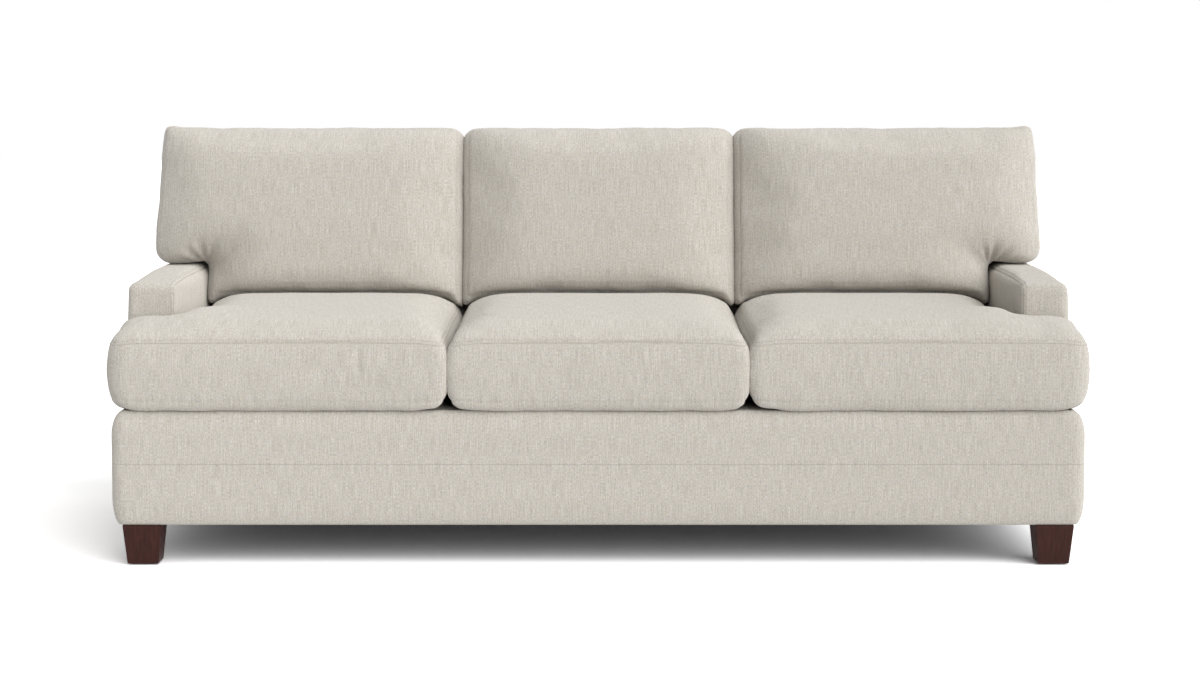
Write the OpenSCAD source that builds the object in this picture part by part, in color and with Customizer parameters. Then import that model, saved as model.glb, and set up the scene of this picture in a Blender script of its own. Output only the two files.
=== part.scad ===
// Three seat track arm sofa with loose seat and back cushions.
// The front faces -Y. The floor is z = 0 and the origin is under the middle of the sofa.

/* [Overall] */
// Width over the two arms
sofa_w = 2182; // [1900:2:2500]
// Depth from the front of the seat cushions to the outside back
sofa_d = 1000; // [940:5:1100]

/* [Legs] */
// Height of a leg with its glide
leg_h = 92; // [60:1:140]
// Width of a leg at its top
leg_top = 88; // [70:1:100]
// Width of a leg at its foot
leg_foot = 70; // [45:1:88]
// From the side of the base to the leg
leg_inset_x = 24; // [10:1:60]
// From the front and back of the base to the leg
leg_inset_y = 10; // [5:1:30]
// Thickness of the glide under a leg
glide_h = 3; // [2:0.5:6]
// Radius of the glide
glide_r = 15; // [10:1:24]
// Diameter of the hanger bolt that holds a leg
bolt_d = 8; // [6:1:10]

/* [Base] */
// Height of the padded base
base_h = 257; // [220:1:300]
// Height of the sewn line above the bottom of the base
seam_h = 138; // [90:1:150]
// How far the sewn line is drawn in
seam_dip = 4; // [1:0.5:8]
// Thickness of the padded border
border_t = 18; // [14:1:24]
// Radius of the front corners seen from above
corner_r = 40; // [34:1:70]
// How far the top edge of the border rolls in
top_roll_in = 22; // [8:1:26]
// Height of the roll at the top edge
top_roll_h = 56; // [20:1:60]
// How far the bottom edge of the border rolls in
foot_roll_in = 17; // [4:1:17]
// Height of the roll at the bottom edge
foot_roll_h = 68; // [20:1:70]
// Thickness of the frame rails
rail_t = 28; // [20:1:34]

/* [Arms] */
// Width of an arm at the seat
arm_w = 120; // [100:1:180]
// Height of an arm above the base
arm_h = 267; // [200:1:320]
// From the front of the base back to the front of the arms
arm_setback = 204; // [120:1:260]
// How much narrower an arm is at its top
arm_lean = 10; // [0:1:16]
// Radius of the outer top edge
arm_outer_r = 28; // [10:1:40]
// Radius of the fold from the top to the front
arm_fold_r = 20; // [8:1:36]
// Radius of the sewn inner edge
arm_seam_r = 8; // [4:1:14]
// Thickness of the foam round the arm frame
arm_pad_t = 10; // [6:1:14]

/* [Back] */
// Height of the back frame above the base
back_h = 491; // [420:1:560]
// Depth of the back frame at the deck, from the inside back to the outside
back_frame_d = 250; // [225:1:285]
// Lean of the inside back from upright, in degrees
rake = 14; // [8:0.5:16]
// Radius of the front top edge of the back frame
back_roll_r = 30; // [20:1:40]
// Thickness of the pad on the inside back
back_pad_t = 12; // [8:1:14]
// Thickness of the outside back panel
outside_back_t = 8; // [5:1:12]

/* [Seat cushions] */
// Height of the sewn side of a seat cushion
seat_t = 159; // [120:1:190]
// Width of the centre cushions, from gap to gap
centre_w = 676; // [600:2:760]
// How far the seat cushions stand out in front of the base
seat_overhang = 15; // [4:1:30]
// How far the cushion ears stand out past the sides of the base
ear_overhang = 9; // [2:1:14]
// Quick rise just inside the sewn edge
seat_puff = 16; // [6:1:24]
// Further rise to the middle of the seat
seat_crown = 32; // [10:1:44]
// How much thinner a seat cushion is at the back
seat_rear_drop = 14; // [6:1:20]
// Gap between neighbouring cushions
cushion_gap = 1.6; // [1:0.2:6]

/* [Back cushions] */
// Height of a back cushion
back_cushion_h = 424; // [360:1:460]
// Width of the sewn side of a back cushion
back_cushion_t = 182; // [150:1:190]
// Quick rise just inside the sewn edge
back_puff = 18; // [6:1:26]
// Further rise to the middle of the back cushion
back_crown = 26; // [8:1:40]

/* [Hidden] */

// Running gap between soft pieces, and the overrun of cuts
clear = 0.3;
cut = 1;
cover_t = 2.5;
dust_t = 1;
// Gap left round the curved foot of a tight corner
fit = 0.5;

// Heights
base_z = leg_h;
rail_z = base_z + dust_t;
seam_z = base_z + seam_h;
deck_z = base_z + base_h;
arm_z = deck_z + arm_h;
back_z = deck_z + back_h;
roll_z = deck_z - top_roll_h + clear;
front_rail_top = roll_z - clear;

// Places across and along
half_w = sofa_w / 2;
arm_in = half_w - arm_w;
gap_x = centre_w / 2;
half_gap = cushion_gap / 2;
seat_front = -sofa_d / 2;
base_front = seat_front + seat_overhang;
back_y = sofa_d / 2;
panel_y = back_y - outside_back_t - clear;
arm_front = base_front + arm_setback;
inside_y = back_y - back_frame_d;
frame_out = half_w - border_t;
frame_front = base_front + border_t;
tan_rake = tan(rake);
function inside_at(z) = inside_y + (z - deck_z) * tan_rake;

// Base frame
strap_t = 2;
back_inset = cover_t + clear + back_pad_t + clear + strap_t + clear;
arm_inset = cover_t + clear + arm_pad_t + clear;
rail_in = frame_front + rail_t;
back_rail_y = panel_y - rail_t;
rear_rail_y = inside_y + 1.4 * rail_t;
long_rail_end = back_rail_y;
stringer_in = arm_in + clear;
front_rail_h = front_rail_top - rail_z;
stringer_h = 0.77 * base_h;
seat_rail_h = 0.29 * base_h;
ear_board_t = 12;
dowel_r = 5;
dowel_l = 44;
bolt_r = bolt_d / 2;
bolt_fit = 0.1;
bolt_head_r = 1.6 * bolt_r;
bolt_head_h = 0.7 * bolt_d;

// Legs
leg_x = half_w - leg_inset_x - leg_top / 2;
leg_y = base_front + leg_inset_y + leg_top / 2;
rear_leg_y = back_y - leg_inset_y - seat_overhang - leg_top / 2;
leg_places = [[-leg_x, leg_y], [leg_x, leg_y], [-leg_x, rear_leg_y], [leg_x, rear_leg_y]];
block_t = 34;
block_w = 110;
block_top = rail_z + block_t;
nut_t = 1.6;
nut_r = 1.9 * bolt_r;
bolt_in_leg = 0.5 * leg_h;
glide_pin_r = 1.5;
glide_pin_l = 14;

// Seat springs
wire = 3.8;
springs = 12;
turns = 20;
loop_w = 52;
arch = 22;
clip_t = 1.5;
clip_w = 14;
clip_l = 9;
spring_z = front_rail_top + clip_t + clear + wire / 2;
spring_from = rail_in - clip_l;
spring_to = rear_rail_y - rail_t + clip_l;
spring_pitch = 2 * stringer_in / springs;
tie_wire = 3.6;
tie_z = spring_z + arch + wire / 2 + clear + tie_wire / 2;
insulator_t = 1.5;
insulator_z = tie_z + tie_wire / 2 + clear;
deck_cloth_t = 2;
deck_pad_z = insulator_z + insulator_t + clear;
deck_cloth_z = deck_z - deck_cloth_t;
deck_pad_t = deck_cloth_z - clear - deck_pad_z;
fold_w = 10;
roll_in = top_roll_in + fold_w;
roll_bend_r = 6;
roll_w = corner_r - border_t - roll_bend_r;
ear_gap = 2;
ear_in = border_t + roll_w + ear_gap;
dust_in = 2;

// Back frame
tuck_h = 70;
tuck_gap = 3;
tuck_z = deck_z + tuck_gap;
upright_z = back_z - back_inset - rail_t;
straps = 9;
strap_w = 60;

// Cushions
seat_z = deck_z + clear;
seat_rear = inside_y - clear;
seat_d = seat_rear - seat_front;
ear_x = half_w + ear_overhang;
ear_rear = arm_front - fit;
cushion_in = arm_in - fit;
cushion_side = gap_x - half_gap;
core_inset = 34;
core_edge = 26;
core_margin = 54;
edge_in = 9;

// Colours
cloth = [0.81, 0.79, 0.75];
timber = [0.80, 0.68, 0.50];
stain = [0.22, 0.14, 0.12];
foam = [0.93, 0.88, 0.70];
steel = [0.62, 0.63, 0.65];
felt = [0.55, 0.52, 0.48];
black = [0.12, 0.12, 0.12];

// Outlines
function unit(v) = v / norm(v);
function mix(a, b, t) = a + (b - a) * t;
function turned(a) = a > 180 ? a - 360 : a < -180 ? a + 360 : a;
function corner_arc(a, p, b, r, n) =
    let (u = unit(a - p), v = unit(b - p), half = acos(u * v) / 2,
         c = p + unit(u + v) * r / sin(half),
         s = p + u * r / tan(half) - c, e = p + v * r / tan(half) - c,
         a0 = atan2(s[1], s[0]), sweep = turned(atan2(e[1], e[0]) - a0))
    [for (i = [0:n]) c + r * [cos(a0 + sweep * i / n), sin(a0 + sweep * i / n)]];
function rounded(points, radii, n = 6) =
    let (m = len(points))
    [for (i = [0:m - 1]) each radii[i] <= 0 ? [points[i]] :
        corner_arc(points[(i + m - 1) % m], points[i], points[(i + 1) % m], radii[i], n)];

module along_x(points, length) {
    rotate([90, 0, 90]) linear_extrude(height = length, center = true) polygon(points);
}

module along_y(points, from, to) {
    translate([0, to, 0]) rotate([90, 0, 0]) linear_extrude(height = to - from) polygon(points);
}

module block(low, high) {
    translate(low) cube(high - low);
}

module both_sides() {
    children();
    mirror([1, 0, 0]) children();
}

// Legs
module leg_side() {
    linear_extrude(height = 2 * leg_top, center = true)
        polygon([[-leg_foot / 2, glide_h], [leg_foot / 2, glide_h],
            [leg_top / 2, leg_h], [-leg_top / 2, leg_h]]);
}

module leg(place) {
    color(stain) translate(place) difference() {
        intersection() {
            rotate([90, 0, 0]) leg_side();
            rotate([90, 0, 90]) leg_side();
        }
        translate([0, 0, leg_h - bolt_in_leg]) cylinder(r = bolt_r + bolt_fit, h = leg_h, $fn = 32);
        cylinder(r = glide_pin_r + bolt_fit, h = glide_h + glide_pin_l + clear, $fn = 24);
    }
}

module leg_glides() {
    color(black) for (p = leg_places) translate(p) {
        cylinder(r = glide_r, h = glide_h, $fn = 48);
        cylinder(r = glide_pin_r, h = glide_h + glide_pin_l, $fn = 24);
    }
}

module leg_bolts() {
    color(steel) for (p = leg_places)
        translate([p[0], p[1], leg_h - bolt_in_leg + clear])
            cylinder(r = bolt_r, h = bolt_in_leg + dust_t + block_t, $fn = 32);
}

module leg_nuts() {
    color(steel) for (p = leg_places) translate([p[0], p[1], block_top]) difference() {
        union() {
            cylinder(r = nut_r, h = nut_t, $fn = 48);
            translate([0, 0, -block_t / 3]) cylinder(r = bolt_r + nut_t, h = block_t / 3 + nut_t, $fn = 32);
        }
        translate([0, 0, -block_t]) cylinder(r = bolt_r + bolt_fit, h = 2 * block_t, $fn = 32);
    }
}

module corner_blocks() {
    color(timber) for (p = leg_places) {
        side = sign(p[0]);
        far = frame_out - rail_t;
        front = p[1] < 0 ? rail_in : back_rail_y - block_w;
        difference() {
            translate([side > 0 ? far - block_w : -far, front, rail_z]) cube([block_w, block_w, block_t]);
            translate([p[0], p[1], rail_z - cut])
                cylinder(r = bolt_r + bolt_fit, h = block_t + 2 * cut, $fn = 32);
            translate([p[0], p[1], rail_z + 2 * block_t / 3 - clear])
                cylinder(r = bolt_r + nut_t + bolt_fit, h = block_t, $fn = 32);
        }
    }
}

// Base frame
dowel_height_shares = [0.4, 0.8];
module dowel_set(grow, longer) {
    both_sides() for (x = [frame_out - rail_t / 2, stringer_in + rail_t / 2], y = [rail_in, back_rail_y],
        share = dowel_height_shares)
            translate([x, y, rail_z + share * front_rail_h]) rotate([90, 0, 0])
                cylinder(r = dowel_r + grow, h = dowel_l + longer, center = true, $fn = 24);
}

module frame_dowels() {
    color([0.9, 0.8, 0.62]) dowel_set(0, 0);
}

module front_rail() {
    color(timber) difference() {
        translate([0, 0, rail_z]) linear_extrude(height = front_rail_h) polygon(rounded(
            [[-frame_out, frame_front], [frame_out, frame_front],
                [frame_out, rail_in], [-frame_out, rail_in]],
            [corner_r - border_t, corner_r - border_t, 0, 0], 10));
        dowel_set(bolt_fit, 2 * clear);
    }
}

module back_rail() {
    color(timber) difference() {
        block([-frame_out, back_rail_y, rail_z], [frame_out, panel_y, deck_z]);
        dowel_set(bolt_fit, 2 * clear);
        both_sides() for (x = upright_places, z = back_bolt_heights)
            translate([x, panel_y, z]) rotate([90, 0, 0]) {
                cylinder(r = bolt_r + bolt_fit, h = 2 * rail_t, center = true, $fn = 32);
                cylinder(r = bolt_head_r + bolt_fit, h = 2 * (bolt_head_h + clear), center = true, $fn = 32);
            }
    }
}

module rear_seat_rail() {
    color(timber) block([-stringer_in, rear_rail_y - rail_t, front_rail_top - seat_rail_h],
        [stringer_in, rear_rail_y, front_rail_top]);
}

// A rail from front to back whose front stretch is lower, to carry the ear board.
module long_rail(x, low) {
    difference() {
        translate([x + rail_t / 2, 0, 0]) along_x([
            [rail_in, low], [long_rail_end, low], [long_rail_end, deck_z],
            [arm_front + border_t, deck_z], [arm_front + border_t, front_rail_top], [rail_in, front_rail_top]
        ], rail_t);
        dowel_set(bolt_fit, 2 * clear);
        arm_bolt_set(bolt_fit, cut);
    }
}

module side_rail() {
    color(timber) long_rail(frame_out - rail_t, rail_z);
}

module inner_stringers() {
    color(timber) both_sides() long_rail(stringer_in, deck_z - stringer_h);
}

module centre_stretchers() {
    color(timber) both_sides() translate([gap_x - rail_t / 2, 0, 0]) {
        block([0, rail_in, rail_z], [rail_t, rear_rail_y, front_rail_top - seat_rail_h]);
    }
}

module ear_boards() {
    color([0.86, 0.76, 0.60]) both_sides()
        block([stringer_in, base_front + ear_in, front_rail_top],
            [half_w - ear_in, arm_front + border_t - clear, front_rail_top + ear_board_t]);
}

module ear_pads() {
    color(foam) both_sides()
        block([stringer_in, base_front + ear_in, front_rail_top + ear_board_t + clear],
            [half_w - ear_in, arm_front + border_t - clear, deck_pad_z - clear]);
}

// Seat springs
function spring_point(i) = mix(spring_from + wire, spring_to - wire, i / turns);
function turn_side(i) = i % 2 == 0 ? 1 : -1;
function spring_edge(shift) = [
    for (i = [0:turns - 1]) let (y = (spring_point(i) + spring_point(i + 1)) / 2,
        r = (spring_point(1) - spring_point(0)) / 2, s = turn_side(i))
        for (a = [-90:45:90]) [s * (loop_w / 2 - r + (r + s * shift) * cos(a)), y + (r + s * shift) * sin(a)]
];
module spring_plan() {
    near = spring_edge(wire / 2);
    far = spring_edge(-wire / 2);
    end_x = turn_side(turns) * loop_w / 2;
    end_y = turn_side(turns - 1) * wire / 2;
    polygon(concat([[-loop_w / 2, spring_point(0) - wire / 2]], near,
        [[end_x, spring_point(turns) + end_y], [end_x, spring_point(turns) - end_y]],
        [for (i = [len(far) - 1:-1:0]) far[i]], [[-loop_w / 2, spring_point(0) + wire / 2]]));
}

function arch_line(shift, n = 8) = [for (i = [0:n]) let (t = i / n)
    [mix(spring_from - cut, spring_to + cut, t), spring_z + shift + arch * 4 * t * (1 - t)]];

module seat_springs() {
    low = arch_line(-wire / 2);
    high = arch_line(wire / 2);
    color(steel) intersection() {
        for (i = [0:springs - 1]) translate([(i - (springs - 1) / 2) * spring_pitch, 0, spring_z - wire])
            linear_extrude(height = arch + 2 * wire) spring_plan();
        along_x(concat(low, [for (i = [len(high) - 1:-1:0]) high[i]]), 2 * stringer_in);
    }
}

// A clip folds over the end of each spring and is nailed to the rail.
module clip() {
    over = spring_z + wire / 2 + clear + arch * 4 * clip_l / (spring_to - spring_from);
    rotate([90, 0, 90]) linear_extrude(height = clip_w, center = true) polygon([
        [0, front_rail_top], [clip_l, front_rail_top], [clip_l, front_rail_top + clip_t],
        [clip_t, front_rail_top + clip_t], [clip_t, over], [clip_l, over],
        [clip_l, over + clip_t], [0, over + clip_t]
    ]);
}

module spring_clips() {
    color(steel) for (i = [0:springs - 1]) translate([(i - (springs - 1) / 2) * spring_pitch, 0, 0]) {
        translate([0, spring_from - clip_t, 0]) clip();
        translate([0, spring_to + clip_t, 0]) mirror([0, 1, 0]) clip();
    }
}

module tie_wires() {
    color(felt) for (share = [-0.06, 0, 0.06])
        translate([0, mix(spring_from, spring_to, 0.5 + share), tie_z]) rotate([0, 90, 0])
            cylinder(r = tie_wire / 2, h = 2 * stringer_in, center = true, $fn = 24);
}

// Plan of the deck: full width in front of the arms, then between them.
function deck_plan(side_in, ears_in) = [
    [-half_w + ears_in, base_front + ears_in], [half_w - ears_in, base_front + ears_in],
    [half_w - ears_in, arm_front - clear], [arm_in - side_in, arm_front - clear],
    [arm_in - side_in, rear_rail_y - rail_t - clear], [-arm_in + side_in, rear_rail_y - rail_t - clear],
    [-arm_in + side_in, arm_front - clear], [-half_w + ears_in, arm_front - clear]
];
module deck_sheet(z, t, ears_in) {
    translate([0, 0, z]) linear_extrude(height = t)
        polygon(rounded(deck_plan(clear, ears_in),
            [corner_r - border_t, corner_r - border_t, 0, 0, 0, 0, 0, 0]));
}

module insulator() {
    color(felt) block([-stringer_in, base_front + ear_in, insulator_z],
        [stringer_in, rear_rail_y - rail_t - clear, insulator_z + insulator_t]);
}

module deck_pad() {
    color(foam) deck_sheet(deck_pad_z, deck_pad_t, roll_in + border_t);
}

module deck_cloth() {
    color(cloth) deck_sheet(deck_cloth_z, deck_cloth_t, roll_in + 2 * clear);
}

module dust_cover() {
    in = border_t + dust_in;
    color(black) translate([0, 0, base_z]) difference() {
        linear_extrude(height = dust_t) polygon(rounded([
            [-half_w + in, base_front + in], [half_w - in, base_front + in],
            [half_w - in, panel_y - clear], [-half_w + in, panel_y - clear]
        ], [corner_r - border_t, corner_r - border_t, 0, 0]));
        for (p = leg_places) translate([p[0], p[1], -cut])
            cylinder(r = bolt_r + bolt_fit, h = dust_t + 2 * cut, $fn = 32);
    }
}

// Sections of the padded borders: inward offset from the face, and height
function roll_arc(depth, height, level, up, n = 8) = [for (i = [0:n]) let (a = 90 * i / n)
    [depth * (1 - cos(a)), level + up * height * sin(a)]];
function reversed(list) = [for (i = [len(list) - 1:-1:0]) list[i]];
dip_h = 3.5 * seam_dip;
lower_section = concat(
    reversed(roll_arc(foot_roll_in, foot_roll_h, base_z + foot_roll_h, -1)),
    roll_arc(seam_dip, dip_h, seam_z - clear / 2 - dip_h, 1),
    [[border_t - clear, seam_z - clear / 2], [border_t - clear, base_z]]);
upper_section = concat(
    reversed(roll_arc(seam_dip, dip_h, seam_z + clear / 2 + dip_h, -1)),
    roll_arc(top_roll_in, top_roll_h, deck_z - top_roll_h, 1),
    [[roll_in, deck_z], [border_t - clear, front_rail_top], [border_t - clear, seam_z + clear / 2]]);
side_section = concat(
    reversed(roll_arc(seam_dip, dip_h, seam_z + clear / 2 + dip_h, -1)),
    roll_arc(seam_dip, dip_h, deck_z - clear - dip_h, 1),
    [[border_t - clear, deck_z - clear], [border_t - clear, seam_z + clear / 2]]);
roll_section = [[border_t, roll_z - clear], [border_t + roll_w, roll_z - clear],
    [border_t + roll_w, deck_pad_z - clear],
    [mix(border_t, roll_in, (deck_pad_z - front_rail_top) / top_roll_h) + clear, deck_pad_z - clear]];

// Sweeps a section along the front of the base and round its two front corners.
module wrap(section, side_to) {
    along_x([for (p = section) [base_front + p[0], p[1]]], sofa_w - 2 * corner_r);
    both_sides() {
        translate([half_w - corner_r, base_front + corner_r, 0]) rotate([0, 0, -90])
            rotate_extrude(angle = 90, $fn = 64) polygon([for (p = section) [corner_r - p[0], p[1]]]);
        along_y([for (p = section) [half_w - p[0], p[1]]], base_front + corner_r, side_to);
    }
}

module front_border_upper() {
    color(cloth) wrap(upper_section, arm_front - clear);
}

module front_border_lower() {
    color(cloth) wrap(lower_section, arm_front - clear);
}

module edge_roll() {
    color(foam) wrap(roll_section, arm_front + border_t - clear);
}

module side_border() {
    color(cloth) for (section = [lower_section, side_section])
        along_y([for (p = section) [half_w - p[0], p[1]]], arm_front, panel_y);
}

// Back frame. The section is the side view of the padded back, drawn in by an inset.
function back_section(in, low, rear = panel_y) =
    let (top = back_z - in)
    rounded([[inside_at(low) + in, low], [rear, low], [rear, top], [inside_at(top) + in, top]],
        [0, 0, 0, max(back_roll_r - in, clear)], 8);

// Above the arms the back is as wide as the sofa. Below them it fits between the arms.
module back_solid(in, over = 0) {
    difference() {
        along_x(back_section(in, deck_z + clear - over, panel_y + over), sofa_w - 2 * in);
        both_sides() block([arm_in - fit + over, inside_y - cut, deck_z - 2 * cut],
            [sofa_w, back_y, arm_z + clear - over]);
    }
}

module back_shell(outer, thick) {
    difference() {
        back_solid(outer);
        back_solid(outer + thick, cut);
    }
}

upright_places = [gap_x, arm_in - fit - clear - rail_t / 2];
back_bolt_heights = [rail_z + 0.45 * base_h, rail_z + 0.8 * base_h];

function tuck_section(grow, reach = 0) = [for (z = [tuck_z - grow, tuck_z + tuck_h + grow])
    let (front = inside_at(z) + back_inset)
    each [[front - reach, z], [front + rail_t + grow, z]]];
function quad(p) = [p[0], p[1], p[3], p[2]];

module tuck_rail() {
    color(timber) along_x(quad(tuck_section(0)), 2 * (arm_in - fit - clear));
}

// The uprights are notched for the tuck rail and bolted to the front of the back rail.
module back_uprights() {
    color(timber) both_sides() difference() {
        for (x = upright_places) translate([x, 0, 0]) along_x([
            [rear_rail_y + clear, block_top], [back_rail_y, block_top], [back_rail_y, deck_z],
            [panel_y, deck_z], [panel_y, upright_z], [inside_at(upright_z) + back_inset, upright_z],
            [inside_at(tuck_z) + back_inset, tuck_z], [rear_rail_y + clear, tuck_z]
        ], rail_t);
        along_x(quad(tuck_section(clear, cut)), sofa_w);
        back_bolt_set(bolt_fit, cut);
    }
}

module end_post() {
    color(timber) translate([frame_out - rail_t / 2, 0, 0]) along_x([
        [inside_at(deck_z) + back_inset, deck_z], [panel_y, deck_z], [panel_y, upright_z],
        [inside_at(upright_z) + back_inset, upright_z]
    ], rail_t);
}

module back_top_rail() {
    color(timber) intersection() {
        along_x(back_section(back_inset, deck_z), 2 * frame_out);
        block([-sofa_w, -sofa_d, upright_z], [sofa_w, sofa_d, back_z]);
    }
}

module back_bolt_set(grow, longer) {
    both_sides() for (x = upright_places, z = back_bolt_heights)
        translate([x, panel_y - bolt_head_h - clear, z]) rotate([90, 0, 0])
            cylinder(r = bolt_r + grow, h = 1.9 * rail_t + longer, $fn = 32);
}

module back_bolts() {
    color(steel) {
        back_bolt_set(0, 0);
        both_sides() for (x = upright_places, z = back_bolt_heights)
            translate([x, panel_y - clear, z]) rotate([90, 0, 0])
                cylinder(r = bolt_head_r, h = bolt_head_h, $fn = 6);
    }
}

// Elastic straps run up the back and fold over the top rail.
module back_webbing() {
    span = 2 * (arm_in - strap_w);
    front = back_inset - clear;
    rear = inside_at(back_z) + 2.5 * back_roll_r;
    color(black) for (i = [0:straps - 1])
        translate([mix(-span / 2, span / 2, i / (straps - 1)), 0, 0]) difference() {
            along_x(back_section(front - strap_t, tuck_z, rear), strap_w);
            along_x(back_section(front, tuck_z - cut, rear + cut), strap_w + 2 * cut);
        }
}

module inside_back_cover() {
    color(cloth) back_shell(0, cover_t);
}

module inside_back_pad() {
    color(foam) back_shell(cover_t + clear, back_pad_t);
}

module outside_back() {
    in = 2;
    low = base_z + dust_t;
    top = back_z - in;
    color(cloth) translate([0, back_y, 0]) rotate([90, 0, 0]) linear_extrude(height = outside_back_t)
        polygon(rounded([[-half_w + in, low], [half_w - in, low], [half_w - in, top], [-half_w + in, top]],
            [for (i = [0:3]) outside_back_t]));
}

// Arms. The right one is drawn, and the left is its mirror image.
function held(r, in) = max(r - in, fit);
module arm_solid(in, rear, low) {
    intersection() {
        along_y(rounded([[arm_in + in, low], [half_w - in, low],
            [half_w - in, arm_z - in], [arm_in + arm_lean + in, arm_z - in]],
            [0, 0, held(arm_outer_r, in), held(arm_seam_r, in)]), arm_front - cut, rear + cut);
        along_x(rounded(
            [[arm_front + in, low], [rear, low], [rear, arm_z - in], [arm_front + in, arm_z - in]],
            [0, 0, 0, held(arm_fold_r, in)]), 2 * sofa_w);
        translate([0, 0, low]) linear_extrude(height = arm_z) polygon(rounded(
            [[arm_in + in, arm_front + in], [half_w - in, arm_front + in],
                [half_w - in, rear], [arm_in + in, rear]],
            [held(arm_seam_r, in), held(arm_fold_r, in), 0, 0]));
    }
}

// The post of the back frame passes up through the top of the arm.
module post_opening() {
    low = arm_z - 2 * border_t;
    block([frame_out - rail_t - fit, inside_at(low) + back_inset - fit, low],
        [frame_out + fit, back_y, arm_z + cut]);
}

module arm_cover() {
    color(cloth) difference() {
        arm_solid(0, panel_y, deck_z);
        arm_solid(cover_t, back_y, deck_z - cut);
        post_opening();
    }
}

module arm_pad() {
    in = cover_t + clear;
    color(foam) difference() {
        arm_solid(in, panel_y, deck_z + clear);
        arm_solid(in + arm_pad_t, back_y, deck_z - cut);
        post_opening();
    }
}

module arm_front_posts() {
    color(timber) both_sides() intersection() {
        arm_solid(arm_inset, panel_y, deck_z);
        block([0, arm_front, deck_z], [sofa_w, arm_front + arm_inset + rail_t, arm_z]);
    }
}

module arm_top_boards() {
    color(timber) both_sides() intersection() {
        arm_solid(arm_inset, panel_y, deck_z);
        block([0, arm_front + arm_inset + rail_t, arm_z - arm_inset - rail_t],
            [sofa_w, inside_at(arm_z - arm_inset - rail_t) + back_inset, arm_z]);
    }
}

module arm_bottom_rails() {
    color(timber) both_sides() difference() {
        intersection() {
            arm_solid(arm_inset, panel_y, deck_z);
            block([0, arm_front + arm_inset + rail_t, deck_z],
                [sofa_w, inside_at(deck_z) + back_inset - clear, deck_z + rail_t]);
        }
        arm_bolt_set(bolt_fit, cut);
    }
}

arm_bolt_shares = [0.15, 0.5, 0.85];
function arm_bolt_place(share) = mix(arm_front + arm_inset + rail_t, inside_at(deck_z), share);
module arm_bolt_set(grow, longer) {
    for (share = arm_bolt_shares) both_sides()
        translate([frame_out - rail_t / 2, arm_bolt_place(share), deck_z - rail_t - longer])
            cylinder(r = bolt_r + grow, h = 2 * rail_t + 2 * longer, $fn = 32);
}

module arm_bolts() {
    color(steel) {
        arm_bolt_set(0, 0);
        for (share = arm_bolt_shares) both_sides()
            translate([frame_out - rail_t / 2, arm_bolt_place(share), deck_z + rail_t])
                cylinder(r = bolt_head_r, h = bolt_head_h, $fn = 6);
    }
}

// Cushions. An outline is a list of points whose third value is 1 at a corner and falls to 0 between.
arc_steps = 4;
edge_steps = 6;
function drawn_edge(a, b, draw) =
    let (d = unit(b - a), n = [-d[1], d[0]])
    [for (j = [1:edge_steps]) let (t = j / (edge_steps + 1), p = mix(a, b, t) + n * draw * sin(180 * t))
        [p[0], p[1], pow(abs(cos(180 * t)), 5)]];
function outline(points, radii, draws, sharp) =
    let (m = len(points), arcs = [for (i = [0:m - 1])
        corner_arc(points[(i + m - 1) % m], points[i], points[(i + 1) % m], radii[i], arc_steps)])
    [for (i = [0:m - 1]) each concat([for (p = arcs[i]) [p[0], p[1], sharp[i]]],
        [for (p = drawn_edge(arcs[i][arc_steps], arcs[(i + 1) % m][0], draws[i]))
            [p[0], p[1], p[2] * min(sharp[i], sharp[(i + 1) % m])]])];

// Joins rings of points into a closed solid. place(p, s, w) gives the point of an outline point p.
module pillow(loop, hub, rings, place) {
    n = len(loop);
    m = len(rings);
    low = rings[0];
    points = concat(
        [for (ring = rings) for (p = loop) place(p, ring[0], ring[1], ring[2])],
        [place([hub[0], hub[1], 0], 0, 0, low[2])], [place([hub[0], hub[1], 0], 0, 0, 1)]);
    first = n * m;
    last = first + 1;
    faces = concat(
        [for (i = [0:n - 1]) [first, i, (i + 1) % n]],
        [for (k = [0:m - 2], i = [0:n - 1]) [k * n + i, (k + 1) * n + i, (k + 1) * n + (i + 1) % n]],
        [for (k = [0:m - 2], i = [0:n - 1]) [k * n + i, (k + 1) * n + (i + 1) % n, k * n + (i + 1) % n]],
        [for (i = [0:n - 1]) [last, (m - 1) * n + (i + 1) % n, (m - 1) * n + i]]);
    polyhedron(points = points, faces = faces, convexity = 6);
}

// Rings from one face to the other: size about the hub, inset in edge widths, and share of the thickness
side_ring_shares = [[1, 1, 0], [1, 0.2, 0.14], [1, 0, 0.45], [1, 0.3, 0.82], [1, 1, 1]];
face_ring_shares = [[0.965, 0, 1], [0.90, 0, 1], [0.79, 0, 1], [0.62, 0, 1], [0.36, 0, 1]];
ring_shares = concat(side_ring_shares, face_ring_shares);

function plan_point(p, hub, s, in) =
    let (v = [p[0], p[1]] - hub) hub + v * (s - in * edge_in / max(norm(v), edge_in));

function hump(t, power) = max(0, 1 - pow(abs(t), power));

// Seat cushions
front_r = 34;
ear_r = 44;
rear_r = 18;
notch_r = arm_seam_r;
seat_lift = 12;
seat_pinch = 7;
front_draw = 2;
side_draw = 3;
rear_draw = 1;
top_draw = 5;
function seat_side(y) = seat_t - seat_rear_drop * pow((y - seat_front) / seat_d, 3);
function seat_dome(x, y, mid, half) =
    seat_crown * hump((x - mid) / half, 2.6) * hump((y - (seat_front + seat_d * 0.54)) / (seat_d * 0.54), 3);
function seat_top(x, y, mid, half, s) =
    seat_z + seat_side(y) + seat_puff * (1 - pow(s, 6)) + seat_dome(x, y, mid, half);

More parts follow.
